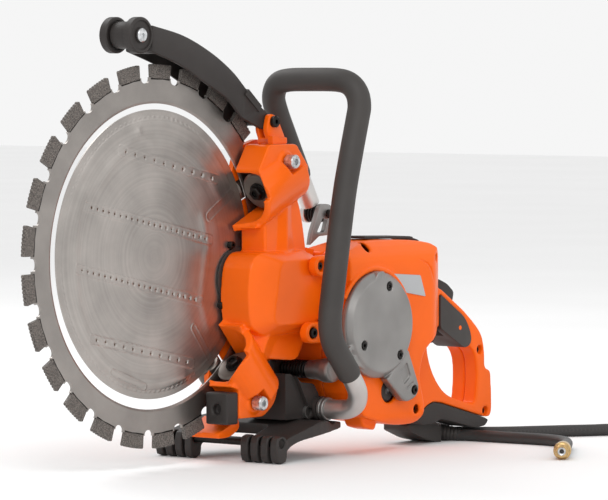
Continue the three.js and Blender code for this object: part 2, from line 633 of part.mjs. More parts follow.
place('top_cover', paint.darkPlastic, sidePlate(
  [[296, 11.6], [379, 9], [425, 1.6], [425, 4], [380, 12], [296, 14.4]], -62, -28));
place('label_plate', paint.label, sidePlate(
  [[322, -28, 2], [366, -32, 2], [376, -57, 2], [345, -51, 2]], housing.near - 1.1, housing.near - GAP));

// ---------------------------------------------------------------- motor cover with its bearing boss and arm
const motorCover = { x: 281, z: -85.5, face: -102, inside: -97.5, flat: 54, shoulder: 60, rim: 60.6,
  boss: 21 };
const coverArm = [[290, -148], [330, -116], [341, -140, 8], [351, -161, 9], [344, -172, 9], [324, -177, 9]];
const coverLug = [[217, -112, 3], [238, -99, 3], [262, -120], [252, -136, 4], [244, -132, 4], [221, -124, 4]];

function motorCoverShell() {
  const back = housing.near - GAP;
  const dome = spindleY([
    [0, motorCover.face], [motorCover.flat, motorCover.face], [motorCover.shoulder, -98],
    [motorCover.rim, -96], [motorCover.rim, back], [55, back], [54, -95], [50, motorCover.inside],
    [0, motorCover.inside],
  ], motorCover.x, motorCover.z, 40);
  const boss = spindleY([
    [0, motorCover.inside - 1], [motorCover.boss, motorCover.inside - 1], [motorCover.boss, -73.5],
    [17.3, -73.5], [17.3, housing.near], [0, housing.near],
  ], motor.x, motor.z, 32);
  const arm = sidePlate(coverArm, motorCover.face + 1.5, back);
  const coolingLug = sidePlate(coverLug, -99, back);
  const tab = sidePlate([[263, -40], [272, -24, 3], [284, -23, 3], [284, -40]], motorCover.face, -96);
  return join(dome, boss, arm, coolingLug, tab);
}

place('motor_cover', paint.alloy, motorCoverShell());

// ---------------------------------------------------------------- rear grip, trigger and lower cover

function rearGrip() {
  const body = sidePlate(inset(gripSide, GAP), handle.near - 1.5, handle.far + 1.5);
  const triggerSlot = block(420, 454, -55, -35, -130, -82);
  const lockoutSlot = block(430, 482, -55, -35, -74, -30);
  return cut(body, triggerSlot, lockoutSlot);
}

place('rear_grip', paint.rubber, rearGrip());
place('trigger', paint.darkPlastic, sidePlate(
  [[430, -86], [449, -86, 3], [451, -94, 3], [437, -116, 4], [424, -114, 4], [428, -103, 3]], -53, -37));
place('trigger_lockout', paint.darkPlastic, sidePlate(
  [[437, -44, 4], [445, -40, 4], [464, -47, 5], [477, -57, 4], [474, -69, 3], [463, -66], [441, -56, 4]],
  -53, -37));
place('rear_lower_cover', paint.darkPlastic, sidePlate(
  [[389, -203.1], [413, -187.6, 6], [425, -184.6, 4], [440, -186.6], [482, -197.6], [525, -208.6],
    [532, -211.6, 3], [526, -218.2, 4], [506, -219.4, 6], [441, -204.6, 6], [424, -209.1, 4],
    [404, -209.6, 4]],
  handle.near + 1, handle.far - 1));

// ---------------------------------------------------------------- foot, bumper and lower ring guard
const foot = { ribX: 124.5, ribHalf: 9.4, ribTop: -203, ribThick: 10.5, pitch: 14.4, perSide: 4,
  near: { first: -33, step: -1, edge: -82 }, far: { first: 50.3, step: 1, edge: 98.8 }, rodZ: -211.5 };

function footPlate() {
  const plate = common(
    sidePlate([[132, -222], [140, -216, 6], [156, -211, 8], [198, -206, 20], [260, -203], [260, -197],
      [232, -193, 10], [196, -190.5, 10], [140, -205, 6], [132, -208]], -90, 110),
    flatPlate([[132, -81, 4], [200, -81, 20], [258, -60, 8], [262, -30, 8], [262, 46, 8], [258, 76, 8],
      [200, 97, 20], [132, 97, 4], [132, 46], [176, 38, 12], [176, -22, 12], [132, -29]], -240, -180));
  const ribs = [];
  for (const side of [foot.near, foot.far]) {
    for (let index = 0; index < foot.perSide; index += 1) {
      const y = side.first + side.step * index * foot.pitch;
      ribs.push(sidePlate(
        [[foot.ribX - foot.ribHalf, GROUND, 9], [foot.ribX + foot.ribHalf, GROUND, 9],
          [foot.ribX + foot.ribHalf, foot.ribTop, 9], [foot.ribX - foot.ribHalf, foot.ribTop, 9]],
        y - foot.ribThick / 2, y + foot.ribThick / 2, 2));
    }
  }
  const rodHole = discY(foot.ribX, foot.rodZ, -90, 110, 5.3, 12);
  const socketSpace = discY(tubeSocket.x, tubeSocket.z, -80, -28, 17, 20);
  return cut(join(plate, ...ribs), rodHole, socketSpace);
}

place('foot', paint.darkPlastic, footPlate());
place('foot_rod', paint.blackSteel,
  discY(foot.ribX, foot.rodZ, foot.near.edge + 1, foot.far.edge - 1, 5, 12));
place('bumper_block', paint.darkPlastic, cut(
  block(78, 98, -40, -8, -190, -154), discX(77, 86, -24, -173, 6, 16)));

place('lower_ring_guard', paint.orange, sidePlate(
  [[80, -200.5], [104, -190.6], [115, -184.4], [119, -196, 6], [102, -206, 10], [82, -206]], -25, 25));

// ---------------------------------------------------------------- water tap on the far side
const tap = { x: 348, z: -150 };
place('water_tap_body', paint.brass, join(
  discY(tap.x, tap.z, housing.far + GAP, 12, 9, 20),
  discX(tap.x - 30, tap.x, 5, tap.z, 6.5, 16)));
place('water_tap_lever', paint.darkPlastic, join(
  discY(tap.x, tap.z, 12 + GAP, 19, 9, 20),
  sidePlate([[tap.x - 6, tap.z - 5, 3], [tap.x + 34, tap.z - 4, 4], [tap.x + 34, tap.z + 4, 4],
    [tap.x - 6, tap.z + 5, 3]], 13, 19)));

// ---------------------------------------------------------------- cord boot, power cable and water hose
const bootPlan = [[402, -44, 6], [464, -44], [488, -22], [488, -4], [402, -4, 6]];
place('cord_boot', paint.rubber, common(
  sidePlate([[402, -210.2, 4], [430, -210.2], [446, -213], [480, -219], [488, -220], [488, GROUND],
    [460, GROUND],
    [436, -230, 8], [402, -217, 6]], -50, 0),
  flatPlate(bootPlan, GROUND - 1, -200)));

const cable = { radius: 7 };
const hose = { radius: 6.75 };
const cableLie = GROUND + cable.radius + 0.1;
const hoseLie = GROUND + hose.radius + 0.1;
const cableRoute = route([
  [488.4, -13, cableLie], [496, -13.2, cableLie], [506, -19, cableLie], [516, -31, cableLie],
  [529, -52, cableLie], [550, -74, cableLie], [580, -95, cableLie], [615, -118, cableLie],
  [650, -141, cableLie], [686, -162, -226], [722, -177, -217], [745, -182, -212], [758, -183, -211.4],
  [769.8, -183, -211.4],
]);
const hoseRoute = route([
  [476.3, -33.3, hoseLie], [486, -45, hoseLie], [493, -63, hoseLie], [497, -88, hoseLie],
  [499, -115, hoseLie], [502, -145, hoseLie], [503, -170, hoseLie], [498, -193, hoseLie],
  [485, -211, hoseLie], [466, -225.5, hoseLie],
  [440, -243, hoseLie + 1], [415, -259.5, hoseLie + 2.5], [391, -275, hoseLie + 3.3],
]);

place('power_cable', paint.rubber, swept(cableRoute, cable.radius, 26, 8));
place('cable_plug', paint.darkPlastic, discX(770.3, 880, 0, 0, 23, 20).translate(0, -183, GROUND + 23.1));
place('water_hose', paint.rubber, swept(hoseRoute, hose.radius, 26, 8));

function hoseConnector() {
  const start = [390.7, -275.2];
  const end = [361, -294.5];
  const length = Math.hypot(end[0] - start[0], end[1] - start[1]);
  const body = join(discX(0, length - 8, 0, 0, 10, 20), discX(length - 9, length, 0, 0, 7, 20));
  body.rotateZ(Math.atan2(end[1] - start[1], end[0] - start[0]));
  return body.translate(start[0], start[1], GROUND + 10.1);
}

place('hose_connector', paint.brass, hoseConnector());

saw.position.set((ring.outer - REAR_END) / 2, -(NEAR_SIDE + FAR_SIDE) / 2, -GROUND);

export default saw;
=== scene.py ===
import json
import math

import bmesh
import bpy
from mathutils import Matrix, Vector

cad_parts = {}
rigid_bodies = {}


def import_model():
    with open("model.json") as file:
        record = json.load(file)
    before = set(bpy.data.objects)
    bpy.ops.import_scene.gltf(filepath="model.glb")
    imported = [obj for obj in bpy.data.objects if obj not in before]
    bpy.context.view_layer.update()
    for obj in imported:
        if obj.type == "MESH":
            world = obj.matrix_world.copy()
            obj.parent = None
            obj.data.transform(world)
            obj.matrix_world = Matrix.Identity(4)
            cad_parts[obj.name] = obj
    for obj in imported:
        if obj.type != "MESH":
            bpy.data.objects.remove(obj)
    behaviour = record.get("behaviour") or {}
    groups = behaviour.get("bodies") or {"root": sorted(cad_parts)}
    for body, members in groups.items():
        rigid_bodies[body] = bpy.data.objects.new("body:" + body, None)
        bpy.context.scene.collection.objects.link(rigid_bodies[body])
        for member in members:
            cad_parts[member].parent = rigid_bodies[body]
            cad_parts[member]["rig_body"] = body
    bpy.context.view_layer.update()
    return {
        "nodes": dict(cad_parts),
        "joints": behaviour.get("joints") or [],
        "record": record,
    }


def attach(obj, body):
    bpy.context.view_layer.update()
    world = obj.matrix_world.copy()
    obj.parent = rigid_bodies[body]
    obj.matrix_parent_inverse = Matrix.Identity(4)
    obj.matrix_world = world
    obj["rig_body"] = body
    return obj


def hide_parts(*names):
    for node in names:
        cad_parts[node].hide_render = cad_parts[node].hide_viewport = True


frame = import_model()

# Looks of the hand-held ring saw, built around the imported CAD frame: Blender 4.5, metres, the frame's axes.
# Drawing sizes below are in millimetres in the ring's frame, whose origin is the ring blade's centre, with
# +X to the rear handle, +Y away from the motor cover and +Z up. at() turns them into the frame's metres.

nodes = frame["nodes"]
joints = {joint["name"]: joint for joint in frame["joints"]}
RING_CENTRE = Vector(joints["ring_spin"]["pos_m"])
MM = 0.001


def at(x, y, z):
    return RING_CENTRE + Vector((x, y, z)) * MM


def polar(radius, degrees):
    angle = math.radians(degrees)
    return radius * math.cos(angle), radius * math.sin(angle)


def spot(point, y=0):
    """A drawing's (x, z) point with its y."""
    return (point[0], y, point[1])


def add_object(name, data):
    piece = bpy.data.objects.new(name, data)
    bpy.context.scene.collection.objects.link(piece)
    return piece


# ---- camera, at the photograph's angle
CAMERA_AT = (-3648.9, -3202.3, 225.9)
CAMERA_YAW = 50.69
CAMERA_PITCH = -2.58
CAMERA_LENS = 260.5


def make_camera():
    data = bpy.data.cameras.new("camera")
    data.sensor_width = 36
    data.lens = CAMERA_LENS
    data.clip_end = 50
    camera = add_object("camera", data)
    yaw, pitch = math.radians(CAMERA_YAW), math.radians(CAMERA_PITCH)
    look = Vector((math.sin(yaw) * math.cos(pitch), math.cos(yaw) * math.cos(pitch), math.sin(pitch)))
    right = Vector((math.cos(yaw), -math.sin(yaw), 0))
    up = right.cross(look)
    facing = Matrix((right, up, -look)).transposed().to_4x4()
    camera.matrix_world = Matrix.Translation(at(*CAMERA_AT)) @ facing
    bpy.context.scene.camera = camera


make_camera()


# ---- procedural materials
def new_material(name, metallic=0.0):
    material = bpy.data.materials.new(name)
    material.use_nodes = True
    shader = material.node_tree.nodes["Principled BSDF"]
    shader.inputs["Metallic"].default_value = metallic
    return material, material.node_tree, shader


def link(tree, source, target):
    tree.links.new(source, target)


def object_coords(tree):
    return tree.nodes.new("ShaderNodeTexCoord").outputs["Object"]


def noise(tree, scale, detail):
    texture = tree.nodes.new("ShaderNodeTexNoise")
    texture.inputs["Scale"].default_value = scale
    texture.inputs["Detail"].default_value = detail
    link(tree, object_coords(tree), texture.inputs["Vector"])
    return texture.outputs["Fac"]


def paint(tree, shader, value, stops):
    """Base colour from a ramp of (position, colour) stops."""
    node = tree.nodes.new("ShaderNodeValToRGB")
    elements = node.color_ramp.elements
    while len(elements) < len(stops):
        elements.new(0.5)
    for element, (place, colour) in zip(elements, stops):
        element.position = place
        element.color = (*colour, 1.0)
    link(tree, value, node.inputs["Fac"])
    link(tree, node.outputs["Color"], shader.inputs["Base Color"])


def shades(colour, *stops):
    """Ramp stops of one colour, each made darker or lighter by its factor."""
    return [(place, tuple(min(1.0, channel * factor) for channel in colour)) for place, factor in stops]


def roughen(tree, shader, value, low, high):
    node = tree.nodes.new("ShaderNodeMapRange")
    node.inputs["To Min"].default_value = low
    node.inputs["To Max"].default_value = high
    link(tree, value, node.inputs["Value"])
    link(tree, node.outputs["Result"], shader.inputs["Roughness"])


def bump(tree, shader, height, strength, distance):
    node = tree.nodes.new("ShaderNodeBump")
    node.inputs["Strength"].default_value = strength
    node.inputs["Distance"].default_value = distance
    link(tree, height, node.inputs["Height"])
    link(tree, node.outputs["Normal"], shader.inputs["Normal"])


def vector_math(tree, operation, value, other=(0, 0, 0)):
    node = tree.nodes.new("ShaderNodeVectorMath")
    node.operation = operation
    node.inputs[1].default_value = other
    link(tree, value, node.inputs[0])
    return node


def moulded(name, colour, rough, grain=900.0, grain_depth=0.00012, variation=0.06, coat=0.0, gloss=0.5):
    """Plastic or paint: slight cloudy colour change, a fine moulded grain and uneven gloss."""
    material, tree, shader = new_material(name)
    paint(tree, shader, noise(tree, 14.0, 3.0), shades(colour, (0.3, 1 - variation), (0.7, 1 + variation)))
    roughen(tree, shader, noise(tree, 60.0, 5.0), rough - 0.05, rough + 0.07)
    bump(tree, shader, noise(tree, grain, 2.0), 0.25, grain_depth)
    shader.inputs["Specular IOR Level"].default_value = gloss
    shader.inputs["Coat Weight"].default_value = coat
    shader.inputs["Coat Roughness"].default_value = 0.12
    return material


def cast_metal(name, colour, rough=0.42, grain=700.0, depth=0.0002):
    """Blasted cast alloy: fine pits, soft cloudy tone."""
    material, tree, shader = new_material(name, 0.85)
    paint(tree, shader, noise(tree, 30.0, 5.0), shades(colour, (0.3, 0.86), (0.75, 1.1)))
    roughen(tree, shader, noise(tree, 120.0, 4.0), rough - 0.06, rough + 0.1)
    bump(tree, shader, noise(tree, grain, 3.0), 0.35, depth)
    return material


def turned_steel(name, colour, rough=0.32, rings=2600.0, metallic=0.95):
    """Steel ground in circles about the ring's axis: fine concentric lines and smoky streaks."""
    material, tree, shader = new_material(name, metallic)
    offset = vector_math(tree, "SUBTRACT", object_coords(tree), RING_CENTRE).outputs["Vector"]
    flat = vector_math(tree, "MULTIPLY", offset, (1, 0, 1)).outputs["Vector"]
    grooves = tree.nodes.new("ShaderNodeTexNoise")
    grooves.noise_dimensions = "1D"
    grooves.inputs["Scale"].default_value = rings
    grooves.inputs["Detail"].default_value = 3.0
    link(tree, vector_math(tree, "LENGTH", flat).outputs["Value"], grooves.inputs["W"])
    smoke = noise(tree, 22.0, 5.0)
    mix = tree.nodes.new("ShaderNodeMath")
    mix.operation = "MULTIPLY_ADD"
    mix.inputs[1].default_value = 0.35
    link(tree, grooves.outputs["Fac"], mix.inputs[0])
    link(tree, smoke, mix.inputs[2])
    paint(tree, shader, mix.outputs["Value"], shades(colour, (0.4, 0.78), (0.95, 1.18)))
    roughen(tree, shader, smoke, rough - 0.06, rough + 0.12)
    bump(tree, shader, grooves.outputs["Fac"], 0.3, 0.00004)
    return material


def plated(name, colour, rough=0.28):
    """Zinc-plated or blackened screws and pins: mottled plating. It also gives the dark brown painted shade
    of the water holes.
    """
    material, tree, shader = new_material(name, 0.9)
    spots = noise(tree, 260.0, 6.0)
    paint(tree, shader, spots, shades(colour, (0.35, 0.7), (0.65, 1.15)))
    roughen(tree, shader, spots, rough - 0.05, rough + 0.15)
    return material


def diamond_segment(name):
    """Sintered diamond segment: dark matrix metal with bright grit."""
    material, tree, shader = new_material(name, 0.45)
    grit = tree.nodes.new("ShaderNodeTexVoronoi")
    grit.inputs["Scale"].default_value = 900.0
    link(tree, object_coords(tree), grit.inputs["Vector"])
    paint(tree, shader, grit.outputs["Distance"],
          [(0.05, (0.42, 0.38, 0.33)), (0.35, (0.17, 0.15, 0.135)), (0.8, (0.085, 0.075, 0.07))])
    shader.inputs["Roughness"].default_value = 0.62
    bump(tree, shader, grit.outputs["Distance"], 0.6, 0.0005)
    return material


def braided(name, colour):
    """Woven cable sleeve: two crossed sets of fine strands."""
    material, tree, shader = new_material(name)
    both = tree.nodes.new("ShaderNodeMath")
    both.operation = "MAXIMUM"
    for index, lean in enumerate((0.8, -0.8)):
        mapping = tree.nodes.new("ShaderNodeMapping")
        mapping.inputs["Rotation"].default_value = (0.5, 0.3, lean)
        link(tree, object_coords(tree), mapping.inputs["Vector"])
        wave = tree.nodes.new("ShaderNodeTexWave")
        wave.inputs["Scale"].default_value = 420.0
        link(tree, mapping.outputs["Vector"], wave.inputs["Vector"])
        link(tree, wave.outputs["Fac"], both.inputs[index])
    paint(tree, shader, both.outputs["Value"], shades(colour, (0.2, 0.5), (0.9, 1.5)))
    shader.inputs["Roughness"].default_value = 0.6
    bump(tree, shader, both.outputs["Value"], 0.5, 0.0004)
    return material


ORANGE = (0.92, 0.132, 0.003)
DARK = (0.034, 0.029, 0.027)
look = {
    "orange_plastic": moulded("orange_plastic", ORANGE, 0.34, coat=0.08, gloss=0.15),
    "orange_casting": moulded("orange_casting", ORANGE, 0.3, 500.0, 0.0001, coat=0.12, gloss=0.2),
    "dark_plastic": moulded("dark_plastic", DARK, 0.5, 1400.0, 0.0002, 0.15, gloss=0.3),
    "rubber": moulded("rubber", (0.04, 0.035, 0.032), 0.6, 1800.0, 0.00025, 0.18),
    "cast_alloy": cast_metal("cast_alloy", (0.30, 0.29, 0.28)),
    "ring_steel": turned_steel("ring_steel", (0.33, 0.305, 0.285)),
    "machined_steel": plated("machined_steel", (0.45, 0.45, 0.45)),
    "black_steel": plated("black_steel", (0.03, 0.027, 0.025), 0.4),
    "zinc_steel": plated("zinc_steel", (0.68, 0.69, 0.7), 0.25),
    "brass": plated("brass", (0.62, 0.42, 0.19), 0.25),
    "copper_winding": plated("copper_winding", (0.5, 0.17, 0.08), 0.35),
    "label_grey": moulded("label_grey", (0.43, 0.44, 0.45), 0.4, variation=0.04),
    "segment": diamond_segment("diamond_segment"),
    "disc_steel": turned_steel("disc_steel", (0.42, 0.39, 0.365), 0.3, rings=300.0, metallic=0.9),
    # Dark brown for the water holes, which are not cut through: painted shade of the openings.
    "painted_hole_shade": plated("painted_hole_shade", (0.13, 0.075, 0.04), 0.7),
    "roller_steel": turned_steel("roller_steel", (0.21, 0.185, 0.165), 0.42),
    "tube_alloy": cast_metal("tube_alloy", (0.62, 0.6, 0.58), 0.34, 260.0, 0.00006),
    "hose_rubber": moulded("hose_rubber", (0.03, 0.028, 0.027), 0.45, 1200.0, 0.0002),
    "braid": braided("cable_braid", (0.03, 0.028, 0.027)),
}
record_slots = {part["node"]: part["material_slot"] for part in frame["record"]["subparts"]}
for node_name, node in nodes.items():
    node.data.materials.clear()
    node.data.materials.append(look[record_slots[node_name]])


# ---- mesh tools
def rounded(points, steps=6):
    """Outline points (a, b) or (a, b, radius) with each radius turned into a smooth corner."""
    result = []
    for index, point in enumerate(points):
        corner = Vector(point[:2])
        if len(point) < 3 or not point[2]:
            result.append(corner)
            continue
        before = Vector(points[index - 1][:2]) - corner
        after = Vector(points[(index + 1) % len(points)][:2]) - corner
        start = corner + before.normalized() * min(point[2], before.length * 0.48)
        end = corner + after.normalized() * min(point[2], after.length * 0.48)
        for step in range(steps + 1):
            t = step / steps
            result.append(start * (1 - t) ** 2 + corner * 2 * t * (1 - t) + end * t * t)
    return result


def mesh_object(name, verts, faces):
    mesh = bpy.data.meshes.new(name)
    mesh.from_pydata([at(*v) for v in verts], [], faces)
    mesh.validate()
    bm = bmesh.new()
    bm.from_mesh(mesh)
    bmesh.ops.recalc_face_normals(bm, faces=bm.faces)
    bm.to_mesh(mesh)
    bm.free()
    return add_object(name, mesh)


def walls(rows):
    """Faces between rows of the same number of points, each row closed on itself."""
    faces = []
    for low, high in zip(rows, rows[1:]):
        for side in range(len(low)):
            after = (side + 1) % len(low)
            faces.append([low[side], low[after], high[after], high[side]])
    return faces


def stacked(name, layers):
    """A solid through layers of the same number of (x, y, z) points."""
    count = len(layers[0])
    rows = [list(range(start, start + count)) for start in range(0, count * len(layers), count)]
    verts = [point for layer in layers for point in layer]
    return mesh_object(name, verts, [rows[0], rows[-1][::-1], *walls(rows)])


def prism(name, points, low, high, steps=6):
    """A closed (x, z) outline made solid between two places along Y."""
    outline = rounded(points, steps)
    return stacked(name, [[spot(point, y) for point in outline] for y in (low, high)])


def turned(name, profile, centre, sides=64, axis="y"):
    """(radius, height) points turned about Y or X. The profile closes on the axis, or else on itself."""
    x, y, z = centre
    verts, rows = [], []
    for radius, height in profile:
        around = [polar(radius, 360 * side / sides) for side in range(sides if radius else 1)]
        rows.append([len(verts) + side if radius else len(verts) for side in range(sides)])
        if axis == "x":
            verts += [(x + height, y + a, z + b) for a, b in around]
        else:
            verts += [(x + a, y + height, z + b) for a, b in around]
    if profile[0][0] > 0 or profile[-1][0] > 0:
        rows.append(rows[0])
    faces = [list(dict.fromkeys(face)) for face in walls(rows)]
    return mesh_object(name, verts, [face for face in faces if len(face) > 2])


def block(name, xs, ys, zs):
    corners = [(xs[0], zs[0]), (xs[1], zs[0]), (xs[1], zs[1]), (xs[0], zs[1])]
    return prism(name, corners, ys[0], ys[1])


def settled(piece):
    """Applies a piece's modifiers to its mesh."""
    graph = bpy.context.evaluated_depsgraph_get()
    mesh = bpy.data.meshes.new_from_object(piece.evaluated_get(graph))
    piece.modifiers.clear()
    old = piece.data
    piece.data = mesh
    bpy.data.meshes.remove(old)
    return piece


def combine(base, others, operation):
    for other in others:
        modifier = base.modifiers.new(operation, "BOOLEAN")
        modifier.operation = operation
        modifier.solver = "EXACT"
        modifier.object = other
    settled(base)
    for other in others:
        bpy.data.objects.remove(other)
    return base


def union(base, *others):
    return combine(base, others, "UNION")


def subtract(base, *others):
    return combine(base, others, "DIFFERENCE")


def outward(piece, degrees):
    """Turns a piece about the ring's axis, so that what was drawn along +X points out at an angle."""
    pivot = Matrix.Translation(RING_CENTRE)
    piece.data.transform(pivot @ Matrix.Rotation(math.radians(-degrees), 4, "Y") @ pivot.inverted())
    return piece


def smooth(piece, angle=35):
    piece.data.shade_smooth()
    piece.data.set_sharp_from_angle(angle=math.radians(angle))
    return piece


def softened(piece, width, segments=3, angle=28):
    """Rounds the edges with a bevel, as moulded and cast parts have."""
    modifier = piece.modifiers.new("edges", "BEVEL")
    modifier.width = width * MM
    modifier.segments = segments
    modifier.limit_method = "ANGLE"
    modifier.angle_limit = math.radians(angle)
    modifier.use_clamp_overlap = True
    modifier.harden_normals = True
    piece.data.shade_smooth()
    return settled(piece)


def cast(piece, voxel, passes, keep):
    """Fills a casting's corners with small even fillets: a voxel remesh at the given voxel size, smoothing
    passes, then thinning to the share keep of the faces.
    """
    remesh = piece.modifiers.new("remesh", "REMESH")
    remesh.mode = "VOXEL"
    remesh.voxel_size = voxel * MM
    blur = piece.modifiers.new("fillets", "SMOOTH")
    blur.factor = 0.5
    blur.iterations = passes
    thin = piece.modifiers.new("thin", "DECIMATE")
    thin.ratio = keep
    settled(piece)
    piece.data.shade_smooth()
    return piece


def copy_of(node_name, name):
    piece = add_object(name, nodes[node_name].data.copy())
    bm = bmesh.new()
    bm.from_mesh(piece.data)
    bmesh.ops.remove_doubles(bm, verts=bm.verts, dist=1e-6)
    bmesh.ops.dissolve_limit(bm, angle_limit=math.radians(0.5), verts=bm.verts, edges=bm.edges)
    bm.to_mesh(piece.data)
    bm.free()
    return piece


def dress(piece, slot, body, *stands_for, material=None):
    """Gives a piece the material of its slot, or the material given instead, and its body, and hides the CAD
    nodes that it stands for.
    """
    piece.data.materials.clear()
    piece.data.materials.append(look[material or slot])
    if stands_for:
        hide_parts(*stands_for)
    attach(piece, body)
    return piece


def spun(name, profile, centre, slot, *stands_for, body="saw_body", sides=64, material=None):
    """A piece turned about Y, smoothed and dressed."""
    piece = smooth(turned(name, profile, centre, sides), 30)
    return dress(piece, slot, body, *stands_for, material=material)


# ---- free cords, on the same points as in the CAD
CABLE_RADIUS, HOSE_RADIUS = 7.0, 6.75
CABLE_LIE, HOSE_LIE = -227.4, -227.65
CABLE_ROUTE = [
    (488.4, -13, CABLE_LIE), (496, -13.2, CABLE_LIE), (506, -19, CABLE_LIE), (516, -31, CABLE_LIE),
    (529, -52, CABLE_LIE), (550, -74, CABLE_LIE), (580, -95, CABLE_LIE), (615, -118, CABLE_LIE),
    (650, -141, CABLE_LIE), (686, -162, -226), (722, -177, -217), (745, -182, -212), (758, -183, -211.4),
    (769.8, -183, -211.4)]
HOSE_ROUTE = [
    (476.3, -33.3, HOSE_LIE), (486, -45, HOSE_LIE), (493, -63, HOSE_LIE), (497, -88, HOSE_LIE),
    (499, -115, HOSE_LIE), (502, -145, HOSE_LIE), (503, -170, HOSE_LIE), (498, -193, HOSE_LIE),
    (485, -211, HOSE_LIE), (466, -225.5, HOSE_LIE), (440, -243, HOSE_LIE + 1),
    (415, -259.5, HOSE_LIE + 2.5), (391, -275, HOSE_LIE + 3.3)]


def cord(name, points, radius, material, node_name):
    """A free cord as one bezier curve through the points."""
    curve = bpy.data.curves.new(name, "CURVE")
    curve.dimensions = "3D"
    curve.bevel_depth = radius * MM
    curve.bevel_resolution = 6
    curve.resolution_u = 8
    curve.use_fill_caps = True
    spline = curve.splines.new("BEZIER")
    spline.bezier_points.add(len(points) - 1)
    for knot, point in zip(spline.bezier_points, points):
        knot.co = at(*point)
        knot.handle_left_type = knot.handle_right_type = "AUTO"
    piece = add_object(name, curve)
    curve.materials.append(look[material])
    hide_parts(node_name)
    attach(piece, "saw_body")


# ---- shared sizes
GROUND = -234.5
HEAD_ANGLE = -12.1
ROLLER_ANGLE = {"upper": HEAD_ANGLE + 36.5, "lower": HEAD_ANGLE - 36.5}
DRIVE_CENTRE = polar(144.7, HEAD_ANGLE)
MOTOR_CENTRE = (287, -86)


def disc_y(name, x, z, low, high, radius, sides=48):
    return turned(name, [(0, low), (radius, low), (radius, high), (0, high)], (x, 0, z), sides)


def disc_x(name, low, high, y, z, radius, sides=48):
    return turned(name, [(0, low), (radius, low), (radius, high), (0, high)], (0, y, z), sides, "x")


def gather(name, pieces):
    """One object out of several separate closed pieces."""
    mesh = bmesh.new()
    for piece in pieces:
        mesh.from_mesh(piece.data)
        bpy.data.objects.remove(piece)
    joined = add_object(name, bpy.data.meshes.new(name))
    mesh.to_mesh(joined.data)
    mesh.free()
    return joined


def smooth_line(points, steps):
    """Catmull-Rom points through the given ones."""
    points = [Vector(point) for point in points]
    padded = [points[0] * 2 - points[1], *points, points[-1] * 2 - points[-2]]
    result = []
    for before, start, end, after in zip(padded, padded[1:], padded[2:], padded[3:]):
        for step in range(steps):
            t = step / steps
            square = (2 * before - 5 * start + 4 * end - after) * t ** 2
            cube = (3 * start - before - 3 * end + after) * t ** 3
            result.append(0.5 * (2 * start + (end - before) * t + square + cube))
    return result + [points[-1]]


def tube(name, points, radii, sides=24, steps=6):
    """A round tube along a smooth line; radii is one number, or several spread evenly along the line."""
    line = smooth_line(points, steps)
    if not hasattr(radii, "__len__"):
        radii = [radii, radii]
    padded = [line[0], *line, line[-1]]
    tangents = [(after - before).normalized() for before, after in zip(padded, padded[2:])]
    side = tangents[0].orthogonal().normalized()
    layers = []
    for index, (centre, tangent) in enumerate(zip(line, tangents)):
        side = (side - tangent * side.dot(tangent)).normalized()
        other = tangent.cross(side)
        share = index / (len(line) - 1) * (len(radii) - 1)
        low = min(int(share), len(radii) - 2)
        radius = radii[low] + (radii[low + 1] - radii[low]) * (share - low)
        around = [polar(radius, 360 * step / sides) for step in range(sides)]
        layers.append([tuple(centre + side * a + other * b) for a, b in around])
    return stacked(name, layers)


# ---- ring blade
RING_CORE, RING_OUTER, RING_INNER = 198.0, 212.5, 169.0
SEGMENTS, FIRST_SEGMENT, SEGMENT_HALF = 25, 87.08, 4.6
TEETH_PER_SEGMENT = 8


def ring_core():
    lip = 2.6
    core = turned("ring_core", [
        (RING_INNER, -0.5), (RING_INNER + lip, -1.5), (RING_CORE, -1.5), (RING_CORE, 1.5),
        (RING_INNER + lip, 1.5), (RING_INNER, 0.5)], (0, 0, 0), 250)
    gullets = []
    for index in range(SEGMENTS):
        angle = FIRST_SEGMENT + (index + 0.5) * 360 / SEGMENTS
        outline = [(191.5, -4, 4), (191.5, 4, 4), (195, 7.2, 3), (200, 6.6), (200, -6.6), (195, -7.2, 3)]
        gullets.append(outward(prism("gullet", outline, -3, 3), angle))
    return subtract(core, gather("gullets", gullets))


def segments():
    pieces = []
    for index in range(SEGMENTS):
        angle = FIRST_SEGMENT + index * 360 / SEGMENTS
        rim = []
        for tooth in range(TEETH_PER_SEGMENT):
            start = -SEGMENT_HALF + 2 * SEGMENT_HALF * tooth / TEETH_PER_SEGMENT
            width = 2 * SEGMENT_HALF / TEETH_PER_SEGMENT
            rim += [polar(RING_OUTER - 1.1, start), polar(RING_OUTER, start + 0.25 * width),
                    polar(RING_OUTER, start + 0.75 * width)]
        rim.append(polar(RING_OUTER - 1.1, SEGMENT_HALF))
        root = [polar(197.2, SEGMENT_HALF - 0.15), polar(197.2, -SEGMENT_HALF + 0.15)]
        pieces.append(outward(prism("segment", rim + root, -2.5, 2.5), angle))
    return gather("segments", pieces)


# Black bands at the inner edge of each segment: painted shadow under the step where the thicker segment
# stands out from the core.
def segment_root_shadow():
    pieces = []
    for index in range(SEGMENTS):
        angle = FIRST_SEGMENT + index * 360 / SEGMENTS
        outline = [polar(197.1, -SEGMENT_HALF), polar(197.1, SEGMENT_HALF),
                   polar(195.6, SEGMENT_HALF - 0.1), polar(195.2, 1.5), polar(195.7, -1.2),
                   polar(195.4, -SEGMENT_HALF + 0.1)]
        pieces.append(outward(prism("root_shadow_band", outline, -1.9, 1.9), angle))
    return gather("segment_root_shadow", pieces)


dress(smooth(ring_core(), 20), "ring_steel", "ring", "ring_blade")
dress(softened(segments(), 0.35, 1), "ring_steel", "ring", "ring_blade", material="segment")
# The black root bands are painted shadow of the segments' step.
dress(segment_root_shadow(), "ring_steel", "ring", "ring_blade", material="black_steel")


